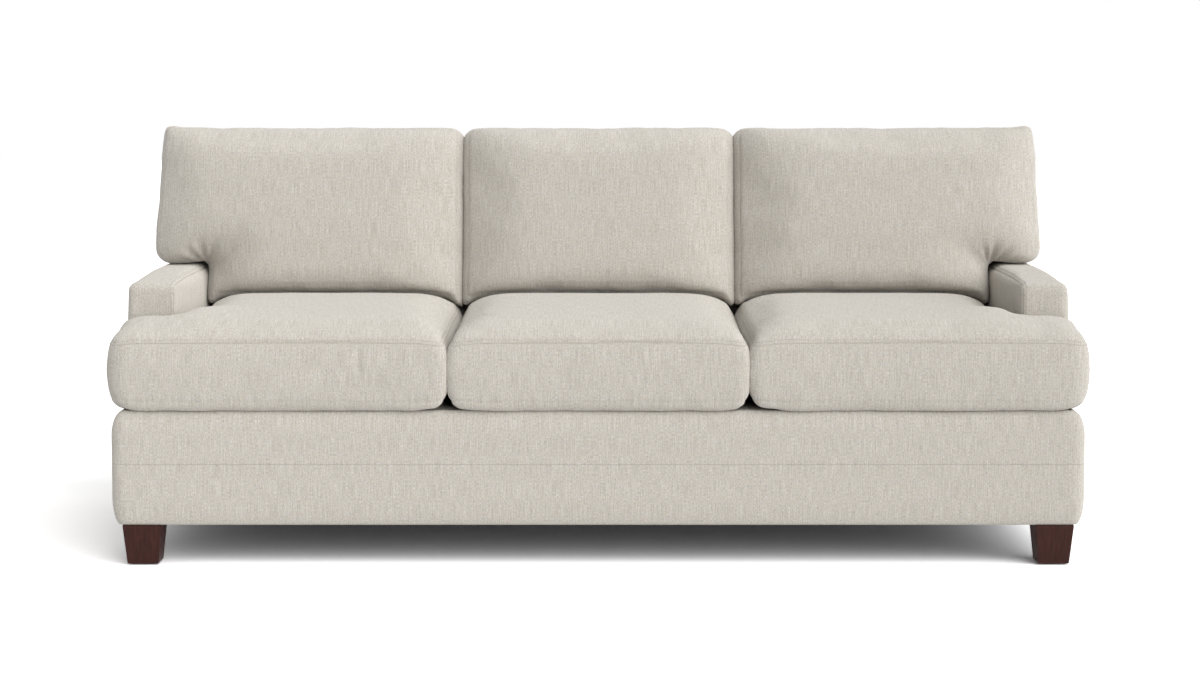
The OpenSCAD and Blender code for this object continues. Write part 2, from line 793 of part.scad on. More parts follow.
end_mid = -(cushion_in + cushion_side) / 2;
end_half = (cushion_in - cushion_side) / 2;
seat_hub = [end_mid, (seat_front + ear_rear) / 2];
centre_hub = [0, (seat_front + seat_rear) / 2];
function end_plan(in) = [
    [-ear_x + in, seat_front + in], [-cushion_side - in, seat_front + in],
    [-cushion_side - in, seat_rear - in], [-cushion_in + in, seat_rear - in],
    [-cushion_in + in, ear_rear - in], [-ear_x + in, ear_rear - in]];
function centre_plan(in) = [
    [-cushion_side + in, seat_front + in], [cushion_side - in, seat_front + in],
    [cushion_side - in, seat_rear - in], [-cushion_side + in, seat_rear - in]];

module seat_pillow(loop, hub, mid, half) {
    pillow(loop, hub, ring_shares, function (p, s, in, level)
        let (q = plan_point(p, hub, s, in),
            bottom = seat_lift * p[2] * (1 - level),
            side = bottom + (seat_side(q[1]) - seat_pinch * p[2] - bottom) * level)
        s == 0 && level < 1 ? [q[0], q[1], seat_z] :
        s == 1 ? [q[0], q[1], seat_z + side] :
        [q[0], q[1], seat_top(q[0], q[1], mid, half, s) - seat_pinch * p[2] * pow(s, 8)]);
}

module core_block(plan, low, high, r) {
    translate([0, 0, low]) linear_extrude(height = high - low) polygon(rounded(plan, [for (p = plan) r], 4));
}

module end_seat_core(grow) {
    core_block(end_plan(core_inset - grow), seat_z + core_edge - grow,
        seat_z + seat_t - seat_rear_drop - core_edge + grow, notch_r);
}

module end_seat_cushion() {
    color(cloth) difference() {
        seat_pillow(outline(end_plan(0), [ear_r, front_r, rear_r, rear_r, notch_r, rear_r],
            [front_draw, side_draw, rear_draw, side_draw, 0, rear_draw], [1, 1, 1, 1, 0, 1]),
            seat_hub, end_mid, end_half);
        end_seat_core(clear);
    }
}

module centre_seat_core(grow = 0) {
    color(foam) core_block(centre_plan(core_inset - grow), seat_z + core_edge - grow,
        seat_z + seat_t - seat_rear_drop - core_edge + grow, notch_r);
}

module centre_seat_cushion() {
    color(cloth) difference() {
        seat_pillow(outline(centre_plan(0), [front_r, front_r, rear_r, rear_r],
            [front_draw, side_draw, rear_draw, side_draw], [1, 1, 1, 1]),
            centre_hub, 0, cushion_side);
        centre_seat_core(clear);
    }
}

// Back cushions rest on the seat crown, square to the lean of the back, and their undersides settle round it.
settle_gap = 5;
seat_contacts = [for (y = [0:0.05:1]) let (at = inside_y - back_cushion_t * y)
    (seat_top(0, at, 0, cushion_side, 0.62) + clear + tan_rake * (at - inside_y + back_cushion_t)
        + deck_z * tan_rake * tan_rake) / (1 + tan_rake * tan_rake)];
cushion_z = max(seat_contacts);
ear_v = arm_z + fit - cushion_z;
back_pinch = 22;
function tilt_share(v) = v <= ear_v ? 1 - max(v, 0) / ear_v : min(1, (v - ear_v) / (3 * ear_v));
function settled(u, v, w, mid, half) =
    let (z = cushion_z - tan_rake * max(0, back_cushion_t - w), y = inside_at(z) - clear - w,
         hub = mid == 0 ? centre_hub[1] : seat_hub[1],
         s = min(1, max(abs(u - mid) / half, (y - hub) / (seat_rear - hub))))
    max(0, z - settle_gap - seat_top(u, y, mid, half, s)) * pow(max(0, 1 - max(v, 0) / ear_v), 1.5);
function back_place(u, v, w, mid, half) =
    let (z = cushion_z + v - tilt_share(v) * tan_rake * max(0, back_cushion_t - w)
        - settled(u, v, w, mid, half))
    [u, inside_at(z) - clear - w, z];

top_r = 30;
function end_face(in) = [
    [-cushion_in + in, in], [-cushion_side - in, in], [-cushion_side - in, back_cushion_h - in],
    [-half_w + in, back_cushion_h - in], [-half_w + in, ear_v + in], [-cushion_in + in, ear_v + in]];
function centre_face(in) = [
    [-cushion_side + in, in], [cushion_side - in, in], [cushion_side - in, back_cushion_h - in],
    [-cushion_side + in, back_cushion_h - in]];
back_hub_v = (ear_v + back_cushion_h) / 2;

module back_pillow(loop, hub, mid, half) {
    pillow(loop, hub, ring_shares, function (p, s, in, level)
        let (q = plan_point(p, hub, s, in))
        s == 0 && level < 1 ? back_place(q[0], q[1], 0, mid, half) :
        s == 1 ? back_place(q[0], q[1], (back_cushion_t - back_pinch * p[2] * level) * level, mid, half) :
        back_place(q[0], q[1], back_cushion_t - back_pinch * p[2] * pow(s, 8) + back_puff * (1 - pow(s, 6))
            + back_crown * hump((q[0] - mid) / half, 2.2) * hump((q[1] - back_hub_v) / back_hub_v, 2.4),
            mid, half));
}

module back_core_block(plan, grow) {
    z = cushion_z + back_cushion_h / 2;
    translate([0, inside_at(z), z]) rotate([90 - rake, 0, 0])
        translate([0, -back_cushion_h / 2, core_edge - grow])
            linear_extrude(height = back_cushion_t - 2 * (core_edge - grow)) polygon(plan);
}

module end_back_core(grow) {
    back_core_block(rounded(end_face(core_margin - grow), [for (i = [0:5]) notch_r], 4), grow);
}

module end_back_cushion() {
    color(cloth) difference() {
        back_pillow(outline(end_face(0), [rear_r, rear_r, top_r, rear_r, rear_r, notch_r],
            [0, side_draw, top_draw, front_draw, 0, rear_draw], [1, 1, 1, 1, 1, 0]),
            [end_mid, back_hub_v], end_mid, end_half);
        end_back_core(clear);
    }
}

module centre_back_core(grow = 0) {
    color(foam) back_core_block(rounded(centre_face(core_margin - grow), [for (i = [0:3]) notch_r], 4), grow);
}

module centre_back_cushion() {
    color(cloth) difference() {
        back_pillow(outline(centre_face(0), [rear_r, rear_r, top_r, top_r],
            [0, side_draw, top_draw, side_draw], [1, 1, 1, 1]), [0, back_hub_v], 0, cushion_side);
        centre_back_core(clear);
    }
}

leg(leg_places[0]);  // front_left_leg
leg(leg_places[1]);  // front_right_leg
leg(leg_places[2]);  // rear_left_leg
leg(leg_places[3]);  // rear_right_leg
leg_glides();
leg_bolts();
leg_nuts();
corner_blocks();
front_rail();
back_rail();
rear_seat_rail();
mirror([1, 0, 0]) side_rail();  // left_side_rail
side_rail();  // right_side_rail
inner_stringers();
centre_stretchers();
ear_boards();
frame_dowels();
seat_springs();
spring_clips();
tie_wires();
insulator();
edge_roll();
ear_pads();
deck_pad();
deck_cloth();
dust_cover();
front_border_upper();
front_border_lower();
mirror([1, 0, 0]) side_border();  // left_side_border
side_border();  // right_side_border
mirror([1, 0, 0]) end_post();  // left_end_post
end_post();  // right_end_post
back_uprights();
back_top_rail();
tuck_rail();
back_bolts();
back_webbing();
inside_back_pad();
inside_back_cover();
outside_back();
arm_front_posts();
arm_top_boards();
arm_bottom_rails();
arm_bolts();
mirror([1, 0, 0]) arm_pad();  // left_arm_pad
arm_pad();  // right_arm_pad
mirror([1, 0, 0]) arm_cover();  // left_arm_cover
arm_cover();  // right_arm_cover
end_seat_cushion();  // left_seat_cushion
centre_seat_cushion();
mirror([1, 0, 0]) end_seat_cushion();  // right_seat_cushion
end_back_cushion();  // left_back_cushion
centre_back_cushion();
mirror([1, 0, 0]) end_back_cushion();  // right_back_cushion
color(foam) end_seat_core(0);  // left_seat_core
centre_seat_core();
mirror([1, 0, 0]) color(foam) end_seat_core(0);  // right_seat_core
color(foam) end_back_core(0);  // left_back_core
centre_back_core();
mirror([1, 0, 0]) color(foam) end_back_core(0);  // right_back_core
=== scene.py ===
"""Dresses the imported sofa: woven linen covers, stuffed cushions, stained legs, a pale floor and soft light.

Lengths are in metres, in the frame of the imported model: the front faces -Y and the floor is z = 0.
"""

import math

import bmesh
import bpy
import numpy as np
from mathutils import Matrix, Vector, noise
from mathutils.bvhtree import BVHTree
from mathutils.kdtree import KDTree


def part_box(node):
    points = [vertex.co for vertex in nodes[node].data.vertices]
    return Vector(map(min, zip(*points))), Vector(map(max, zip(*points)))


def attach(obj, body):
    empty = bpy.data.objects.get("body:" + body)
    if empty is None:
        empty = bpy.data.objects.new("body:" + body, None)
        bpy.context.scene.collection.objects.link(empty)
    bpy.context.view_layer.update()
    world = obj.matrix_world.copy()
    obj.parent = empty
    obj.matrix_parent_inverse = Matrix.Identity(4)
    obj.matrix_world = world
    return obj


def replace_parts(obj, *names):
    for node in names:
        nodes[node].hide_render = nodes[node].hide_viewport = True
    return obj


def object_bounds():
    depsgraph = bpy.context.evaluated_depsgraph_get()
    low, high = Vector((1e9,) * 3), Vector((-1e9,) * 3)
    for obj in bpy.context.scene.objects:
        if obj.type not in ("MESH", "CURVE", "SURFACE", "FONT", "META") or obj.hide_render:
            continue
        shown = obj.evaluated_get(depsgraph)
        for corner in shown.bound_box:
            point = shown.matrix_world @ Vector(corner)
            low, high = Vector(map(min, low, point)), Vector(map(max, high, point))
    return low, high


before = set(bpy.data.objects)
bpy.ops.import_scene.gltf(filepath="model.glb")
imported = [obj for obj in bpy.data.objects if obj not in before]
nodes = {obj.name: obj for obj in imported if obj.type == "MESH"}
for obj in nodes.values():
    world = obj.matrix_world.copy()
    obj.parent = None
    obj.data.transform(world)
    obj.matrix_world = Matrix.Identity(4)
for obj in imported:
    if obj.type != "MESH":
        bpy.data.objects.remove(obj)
cad_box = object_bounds()

# How far the padded arm tops and the ears of the cushions stand proud of their nodes
ARM_CROWN = 0.005
ARM_RISE = 0.008
EAR_SWELL = 0.008
SEAT_EAR_SWELL = 0.030
SEAT_EAR_X = 1.015

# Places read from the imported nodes
BASE_LOW, BASE_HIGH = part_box("front_border_lower")[0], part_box("front_border_upper")[1]
HALF_W, FRONT_Y = BASE_HIGH.x, BASE_LOW.y
BASE_Z, SEAM_Z, DECK_Z = BASE_LOW.z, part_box("front_border_lower")[1].z, BASE_HIGH.z
ARM_LOW, ARM_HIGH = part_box("right_arm_cover")
ARM_IN, ARM_FRONT, ARM_Z = ARM_LOW.x, ARM_LOW.y, ARM_HIGH.z + ARM_CROWN
BACK_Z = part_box("inside_back_cover")[1].z
PANEL_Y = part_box("outside_back")[0].y
ARM_REAR_Z = ARM_Z + ARM_RISE
INSIDE_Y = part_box("inside_back_cover")[0].y
GAP_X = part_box("centre_seat_cushion")[1].x
INNER_X = -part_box("left_seat_cushion")[1].x
SEAT_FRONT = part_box("centre_seat_cushion")[0].y
EAR_X = -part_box("left_seat_cushion")[0].x
ARM_SIDE = ARM_IN - 0.0005
CLEAR = 0.0003
TOUCH = 0.00004
RAKE = math.radians(14)

# Linen: thread spacing, how far the threads sway, and their colours as they look
THREAD_PITCH = 0.0013
WEAVE_SWAY = 0.0016
LINEN_DARK = (156, 150, 138)
LINEN_LIGHT = (240, 238, 234)
LINEN_GREY = (183, 180, 173)
LINEN_PALE = (219, 216, 210)
LINEN_BEIGE = (211, 199, 181)
LINEN_FLECK = (172, 156, 138)
# Painted shade: the crease colour below is mixed into the linen along its seams and topstitch rows, by the
# shares after it.
CREASE_SHADE = (120, 106, 90)
LINEN_SEAM_SHADE_SHARE = 0.08
# Painted shade: the back cushions' seams darken most. This stands in for the shade in the cracks between the
# cushions.
BACK_SEAM_SHADE_SHARE = 0.42
SEAM_SHADE_SHARE = 0.38
STITCH_ROW_SHADE_SHARE = 0.20
STITCH_OFFSET = 0.0075

# Seams: spacing of their samples, the distance that counts as far from them, and their puckers
SEAM_STEP = 0.004
FAR = 0.05
PUCKER_REACH = 0.045
PUCKER_PITCH = 0.016
PUCKER_FADE = 0.014

# Pitch, length and thickness of stitches and staples
TOPSTITCH = (0.0048, 0.0040, 0.0008)
STAPLE = (0.060, 0.011, 0.0013)

# Legs: half the width of the foot, and the eased edge
LEG_FOOT = 0.035
LEG_EASE = 0.0022

# Padded base: corners, thickness, rolled edges (inward, high) and the sewn waist (deep, high)
CORNER_R = 0.032
BORDER_T = 0.0175
TOP_ROLL = (0.028, 0.058)
FOOT_ROLL = (0.017, 0.068)
SEAM_DIP = (0.0005, 0.005)

# Arms
ARM_LEAN = 0.001
ARM_OUTER_R = 0.016
ARM_TAPER = 0.010
ARM_FOLD_R = 0.020
ARM_SEAM_R = 0.008
ARM_SOFTER = 0.029
ARM_POINTS = 96
ARM_SEAM_X = ARM_IN + ARM_LEAN + 0.35 * ARM_SEAM_R
ARM_SEAM_Y, ARM_SEAM_Z = ARM_FRONT + 0.35 * ARM_SEAM_R, ARM_Z - 0.35 * ARM_SEAM_R
ARM_BEND = 0.012

# Rolled top of the back, and the outside back's corners, which are wider than its rings' insets
BACK_ROLL = 0.030
PANEL_R = 0.012

# Foot of the back cushions, on the seat crown
CUSHION_Z = 0.5624

# Light
ROOM_STRENGTH = 0.40
KEY_STRENGTH = 2.85
KEY_FROM = (0.57, -0.70, 0.43)
KEY_WIDTH = math.radians(70)
FLOOR_LIFT = 1.95
FLOOR_HALF = 30.0

# Camera
CAMERA_AT = (0.0040, -6.345, 1.082)
CAMERA_PITCH = math.radians(5.52)
CAMERA_LENS = 79.5

# Meshes of the covers: size of their squares, and spacing of the outlines they start from
COVER_MESH = 0.0085
ARM_MESH = 0.0055
OUTLINE_STEP = 0.011

# Cushions: the side of each, the share of the simulated wrinkles that stays, and the room left
# for the filling to swell. A fill is its pressure and the furthest that the cloth may move.
SIDES = {"left": -1, "centre": 0, "right": 1}
WRINKLES = 0.22
EASE = 0.003
SEAT_FILL = (1.6, 0.010)
BACK_FILL = (2.0, 0.012)

# How the seams draw the cloth in: depth, width and puckers
ARM_PULL = (0.0022, 0.0042, 0.0009)
SEAT_PULL = (0.0017, 0.0034, 0.0010)
BACK_PULL = (0.0024, 0.0045, 0.0014)

# Forms of the cushions. A puff is its height, its widths along x and up, and how steeply it starts;
# a sag or a hang is how deep and how long it is.
SEAM_INSET = 0.0085
SEAT_T = 0.161
SEAT_CLIMB = 0.0155
SEAT_PUFF = (0.021, 0.016, 0.022, 0.9)
SEAT_EDGE = 0.022
SEAT_SAG = (0.0068, 0.022)
SEAT_HANG = (0.0125, 0.018)
SEAT_BULGE = 0.011
SEAT_CROWN = 0.023
REAR_R = 0.012
BACK_T = 0.182
BACK_BULGE = 0.007
BACK_H = 0.4290
BACK_CROWN = 0.011
BACK_PUFF = (0.078, 0.057, 0.026, 1.0)
FOOT_EDGE, EAR_EDGE = 0.010, 0.030

# Rings of the cushion forms: an inset with a height, or with a share of the boxing's height
SEAT_UNDER = ((0.050, 0.0), (0.030, 0.0005), (0.017, 0.005), (0.009, 0.0125), (0.0062, 0.021))
SEAT_BOXING = ((0.0032, 0.10), (0.0010, 0.28), (0.0, 0.5), (0.0012, 0.72), (0.0040, 0.9), (0.0082, 1.0))
BACK_UNDER = ((0.040, 0.0), (0.022, 0.003), (0.010, 0.011), (0.006, 0.020))
BACK_BOXING = ((0.0025, 0.15), (0.0, 0.42), (0.0016, 0.7), (0.0062, 0.9), (0.0105, 1.0))
CROWN_SHARES = (0.93, 0.84, 0.74, 0.63, 0.51, 0.38, 0.24, 0.1)
SEAT_PINCH, BACK_PINCH = 0.007, 0.016
SEAT_LIFT = 0.013

# The upright crease in the front of the left seat cushion: where it is, x and z, and how deep
CREASE_AT = (-0.533, 0.462)
CREASE_DEPTH = 0.0052

# Inner corner of a back cushion's ear: hollows and tuck (depth, width), folds (height, place, width)
NOTCH_LIFT = 0.008
NOTCH_HOLLOWS = ((0.034, 0.040), (0.012, 0.085))
EAR_TUCK = (0.020, 0.020)
NOTCH_FOLDS = (0.0062, 0.036, 0.028)
FOLD_COUNT = 11


# Materials

def colour(r, g, b):
    """A colour given as it looks, from 0 to 255, as the shader's linear values."""
    def linear(v):
        v /= 255
        return v / 12.92 if v <= 0.04045 else ((v + 0.055) / 1.055) ** 2.4
    return (linear(r), linear(g), linear(b), 1.0)


def add_node(tree, kind, inputs, settings):
    """Adds a node with its settings. An input is a value, or the socket that feeds it."""
    node = tree.nodes.new(kind)
    for key, value in settings.items():
        setattr(node, key, value)
    for key, value in inputs.items():
        if isinstance(value, bpy.types.NodeSocket):
            tree.links.new(value, node.inputs[key])
        else:
            node.inputs[key].default_value = value
    return node


def add_object(name, data):
    """A new object of the scene, at the origin."""
    made = bpy.data.objects.new(name, data)
    bpy.context.scene.collection.objects.link(made)
    return made


class Shader:
    """A material under construction: nodes are added by kind and joined by their sockets."""

    def __init__(self, name, **values):
        self.material = bpy.data.materials.new(name)
        self.material.use_nodes = True
        self.tree = self.material.node_tree
        self.surface = self.tree.nodes["Principled BSDF"]
        for socket, value in values.items():
            self.surface.inputs[socket.replace("_", " ")].default_value = value

    def add(self, kind, inputs=None, **settings):
        return add_node(self.tree, "ShaderNode" + kind, inputs or {}, settings)

    def math(self, operation, a, b=0.0, c=0.0):
        return self.add("Math", {0: a, 1: b, 2: c}, operation=operation).outputs[0]

    def mix(self, share, a, b, blend="MIX"):
        node = self.add("Mix", {0: share, 6: a, 7: b}, data_type="RGBA", blend_type=blend)
        return node.outputs[2]

    def ramp(self, share, low, high):
        """0 below low, 1 above high."""
        return self.add("MapRange", {0: share, 1: low, 2: high, 3: 0.0, 4: 1.0}).outputs[0]

    def object_coords(self):
        return self.add("TexCoord").outputs["Object"]

    def stretched_noise(self, coords, scale, detail=2.0, roughness=0.5, size=1.0):
        mapped = self.add("Mapping", {"Vector": coords, "Scale": scale})
        return self.add("TexNoise", {"Vector": mapped.outputs[0], "Scale": size, "Detail": detail,
                                     "Roughness": roughness}).outputs["Fac"]

    def bump(self, height, distance, strength=1.0, normal=None):
        inputs = {"Height": height, "Distance": distance, "Strength": strength}
        if normal is not None:
            inputs["Normal"] = normal
        return self.add("Bump", inputs).outputs[0]

    def finish(self, base, normal=None, roughness=None):
        self.tree.links.new(base, self.surface.inputs["Base Color"])
        if normal is not None:
            self.tree.links.new(normal, self.surface.inputs["Normal"])
        if roughness is not None:
            self.tree.links.new(roughness, self.surface.inputs["Roughness"])
        return self.material


def cloth_coords(s):
    """Across and along the threads: x and z on fronts, x and y on tops, y and z on the ends."""
    x, y, z = s.add("SeparateXYZ", {0: s.object_coords()}).outputs
    nx, ny, nz = s.add("SeparateXYZ", {0: s.add("NewGeometry").outputs["Normal"]}).outputs
    top = s.math("GREATER_THAN", s.math("ABSOLUTE", nz), 0.72)
    end = s.math("GREATER_THAN", s.math("ABSOLUTE", nx), s.math("ABSOLUTE", ny))
    end = s.math("MULTIPLY", end, s.math("SUBTRACT", 1.0, top))
    across = s.add("Mix", {0: end, 2: x, 3: y}, data_type="FLOAT").outputs[0]
    along = s.add("Mix", {0: top, 2: z, 3: y}, data_type="FLOAT").outputs[0]
    return s.add("CombineXYZ", {0: across, 1: along, 2: s.math("MULTIPLY", end, 3.0)}).outputs[0]


def linen(name, seam_shade_share, stitch_row_shade_share=0.0):
    """Slubby linen in a plain weave: an uneven warp and a calmer weft, in oat, beige and grey, with painted
    shade in the creases of its seams and topstitch rows.
    """
    s = Shader(name, Roughness=0.92, Sheen_Weight=0.08, Sheen_Roughness=0.6, Diffuse_Roughness=0.8)
    s.surface.inputs["Specular IOR Level"].default_value = 0.15
    coords = cloth_coords(s)
    x, y, _ = s.add("SeparateXYZ", {0: coords}).outputs
    sway = s.math("MULTIPLY", s.stretched_noise(coords, (90, 90, 1), 1.0), WEAVE_SWAY)
    over = s.math("SINE", s.math("MULTIPLY", s.math("ADD", x, sway), math.pi / THREAD_PITCH))
    under = s.math("SINE", s.math("MULTIPLY", s.math("ADD", y, sway), math.pi / THREAD_PITCH))
    crossing = s.math("MULTIPLY", over, under)
    warp_shows = s.ramp(crossing, -0.15, 0.05)

    def streaks(across, along, low, high, roughness=0.6):
        return s.ramp(s.stretched_noise(coords, (across, along, 1), 2.0, roughness), low, high)

    warp = streaks(560, 200, 0.30, 0.70)
    slub = streaks(460, 20, 0.34, 0.66)
    weft = streaks(52, 620, 0.32, 0.68)
    fleck = streaks(480, 70, 0.60, 0.72)
    tint = streaks(330, 80, 0.36, 0.64)
    patch = streaks(26, 20, 0.42, 0.62, 0.5)
    tone = s.math("ADD", s.math("MULTIPLY", warp, 0.64), s.math("MULTIPLY", slub, 0.36))
    upright = s.mix(tone, colour(*LINEN_DARK), colour(*LINEN_LIGHT))
    level = s.mix(weft, colour(*LINEN_GREY), colour(*LINEN_PALE))
    warp_share = s.math("MULTIPLY_ADD", warp_shows, 0.36, s.math("MULTIPLY_ADD", patch, -0.07, 0.57))
    base = s.mix(warp_share, level, upright)
    base = s.mix(s.math("MULTIPLY", tint, 0.36), base, colour(*LINEN_BEIGE))
    base = s.mix(s.math("MULTIPLY", fleck, 0.40), base, colour(*LINEN_FLECK))
    pillows = s.math("ABSOLUTE", crossing)
    height = s.math("ADD", pillows, s.math("MULTIPLY", s.math("ADD", warp, slub), 0.5))
    normal = s.bump(height, 0.00014, 0.8)
    signed = s.add("Attribute", attribute_name="seam").outputs["Fac"]
    lines = [(signed, seam_shade_share)]
    if stitch_row_shade_share:
        lines.append((s.math("SUBTRACT", signed, STITCH_OFFSET), stitch_row_shade_share))
    # Painted shade: each seam and topstitch row darkens the linen towards the crease colour, by its share.
    for line, share in lines:
        away = s.math("ABSOLUTE", line)
        crease = s.math("SUBTRACT", 1.0, s.ramp(away, 0.0003, 0.0018))
        base = s.mix(s.math("MULTIPLY", crease, share), base, colour(*CREASE_SHADE))
        normal = s.bump(s.ramp(away, 0.0, 0.0024), 0.0008, 0.7, normal)
    return s.finish(base, normal)


def stained_walnut():
    s = Shader("dark walnut stain", Roughness=0.5)
    s.surface.inputs["Specular IOR Level"].default_value = 0.18
    coords = s.object_coords()
    grain = s.stretched_noise(coords, (260, 260, 7), 4.0, 0.6)
    pores = s.stretched_noise(coords, (900, 900, 30), 2.0, 0.5)
    broad = s.stretched_noise(coords, (34, 34, 3), 2.0, 0.5)
    base = s.mix(s.ramp(grain, 0.3, 0.72), colour(34, 13, 9), colour(66, 33, 26))
    base = s.mix(s.math("MULTIPLY", s.ramp(broad, 0.35, 0.7), 0.4), base, colour(52, 25, 19))
    base = s.mix(s.math("MULTIPLY", s.ramp(pores, 0.6, 0.72), 0.5), base, colour(26, 12, 9))
    normal = s.bump(s.math("ADD", grain, pores), 0.0003, 0.5)
    return s.finish(base, normal, s.math("ADD", 0.44, s.math("MULTIPLY", grain, 0.16)))


def timber(name, light, dark, along="x"):
    """Sawn frame wood with its grain along one axis."""
    s = Shader(name, Roughness=0.65)
    scale = {"x": (5, 160, 160), "y": (160, 5, 160), "z": (160, 160, 5)}[along]
    grain = s.stretched_noise(s.object_coords(), scale, 4.0, 0.6)
    base = s.mix(s.ramp(grain, 0.3, 0.7), colour(*dark), colour(*light))
    return s.finish(base, s.bump(grain, 0.0004, 0.4))


def plain_finish(name, tint, scale, grip, depth, **values):
    """A material with a fine even grain, such as zinc, foam, felt or moulded plastic."""
    s = Shader(name, **values)
    grain = s.stretched_noise(s.object_coords(), scale, 3.0, 0.6)
    dark = tuple(v * (1 - grip) for v in tint)
    base = s.mix(s.ramp(grain, 0.3, 0.7), colour(*dark), colour(*tint))
    return s.finish(base, s.bump(grain, depth, 0.5))


# Mesh helpers

def make_piece(name, points, faces, material):
    mesh = bpy.data.meshes.new(name)
    mesh.from_pydata([tuple(p) for p in points], [], faces)
    mesh.update()
    piece = add_object(name, mesh)
    mesh.materials.append(material)
    smooth(piece)
    return piece


def smooth(piece):
    piece.data.polygons.foreach_set("use_smooth", [True] * len(piece.data.polygons))
    piece.data.update()


def vectors(items, name):
    """A vector of each item of a mesh, as rows of an array."""
    values = np.empty(len(items) * 3, np.float32)
    items.foreach_get(name, values)
    return values.reshape(-1, 3).astype(float)


def points_of(piece):
    return vectors(piece.data.vertices, "co")


def normals_of(piece):
    return vectors(piece.data.vertex_normals, "vector")


def set_points(piece, points):
    piece.data.vertices.foreach_set("co", np.asarray(points, np.float32).ravel())
    piece.data.update()


def swell(piece, amount):
    """Moves each point outward by its amount."""
    set_points(piece, points_of(piece) + normals_of(piece) * amount[:, None])


def baked(piece):
    """Turns the piece and its modifiers into a plain, smoothly shaded mesh."""
    bpy.context.view_layer.update()
    graph = bpy.context.evaluated_depsgraph_get()
    mesh = bpy.data.meshes.new_from_object(piece.evaluated_get(graph))
    old, piece.data = piece.data, mesh
    piece.modifiers.clear()
    bpy.data.meshes.remove(old)
    mesh.name = piece.name
    smooth(piece)


def remeshed(piece, voxel, relax=0):
    """An even mesh of small squares over the same form, with its creases relaxed."""
    material = piece.data.materials[0]
    modifier = piece.modifiers.new("even mesh", "REMESH")
    modifier.mode, modifier.voxel_size = "VOXEL", voxel
    if relax:
        even = piece.modifiers.new("relax", "SMOOTH")
        even.factor, even.iterations = 0.5, relax
    baked(piece)
    piece.data.materials.clear()
    piece.data.materials.append(material)


def subdivided(piece):
    modifier = piece.modifiers.new("finer", "SUBSURF")
    modifier.levels = modifier.render_levels = 1
    baked(piece)


def faces_outward(piece):
    """Merges points that coincide and turns every face outward."""
    work = bmesh.new()
    work.from_mesh(piece.data)
    bmesh.ops.remove_doubles(work, verts=work.verts, dist=1e-6)
    bmesh.ops.recalc_face_normals(work, faces=work.faces)
    work.to_mesh(piece.data)
    work.free()
    smooth(piece)


def loft(rings):
    """Joins closed rings of equal count into a closed skin with fanned ends."""
    count = len(rings[0])
    points = [p for ring in rings for p in ring]
    faces = []
    for k in range(len(rings) - 1):
        for i in range(count):
            j = (i + 1) % count
            faces.append((k * count + i, k * count + j, (k + 1) * count + j, (k + 1) * count + i))
    for k, turn in ((0, True), (len(rings) - 1, False)):
        hub = len(points)
        points.append(np.mean(rings[k], axis=0))
        for i in range(count):
            a, b = k * count + i, k * count + (i + 1) % count
            faces.append((hub, b, a) if turn else (hub, a, b))
    return points, faces


def rounded_loop(corners, radii, step):
    """A closed outline with rounded corners and evenly spaced points."""
    corners = [np.array(c, float) for c in corners]
    path = []
    for i, (p, r) in enumerate(zip(corners, radii)):
        a, b = corners[i - 1] - p, corners[(i + 1) % len(corners)] - p
        u, v = a / np.linalg.norm(a), b / np.linalg.norm(b)
        half = math.acos(max(-1, min(1, float(u @ v)))) / 2
        reach = r / math.tan(half)
        start, end = p + u * reach, p + v * reach
        centre = p + (u + v) / np.linalg.norm(u + v) * r / math.sin(half)
        a0 = math.atan2(*(start - centre)[::-1])
        sweep = (math.atan2(*(end - centre)[::-1]) - a0 + math.pi) % (2 * math.pi) - math.pi
        path += [centre + r * np.array([math.cos(a0 + sweep * t), math.sin(a0 + sweep * t)])
                 for t in np.linspace(0, 1, 9)]
    return evenly(path, step, closed=True)


def evenly(path, step, closed=False):
    path = np.array(path + [path[0]] if closed else path, float)
    lengths = np.r_[0, np.cumsum(np.linalg.norm(np.diff(path, axis=0), axis=1))]
    count = max(4, int(round(lengths[-1] / step)))
    at = np.linspace(0, lengths[-1], count + 1)
    if closed:
        at = at[:-1]
    return np.stack([np.interp(at, lengths, path[:, k]) for k in range(path.shape[1])], axis=1)


def inward(loop):
    """Unit normals that point into a loop drawn anticlockwise."""
    tangent = np.roll(loop, -1, axis=0) - np.roll(loop, 1, axis=0)
    tangent /= np.linalg.norm(tangent, axis=1)[:, None]
    return np.stack([-tangent[:, 1], tangent[:, 0]], axis=1)


def ripple(points, size, seed):
    """Smooth noise between -1 and 1 at each point, with bumps about that size."""
    shift = Vector((seed * 7.31, seed * 3.17, seed * 5.73))
    return np.array([noise.noise(Vector(p) / size + shift) for p in points])


def attribute(piece, name, values):
    layer = piece.data.attributes.get(name) or piece.data.attributes.new(name, "FLOAT", "POINT")
    layer.data.foreach_set("value", np.asarray(values, np.float32))


# Seams

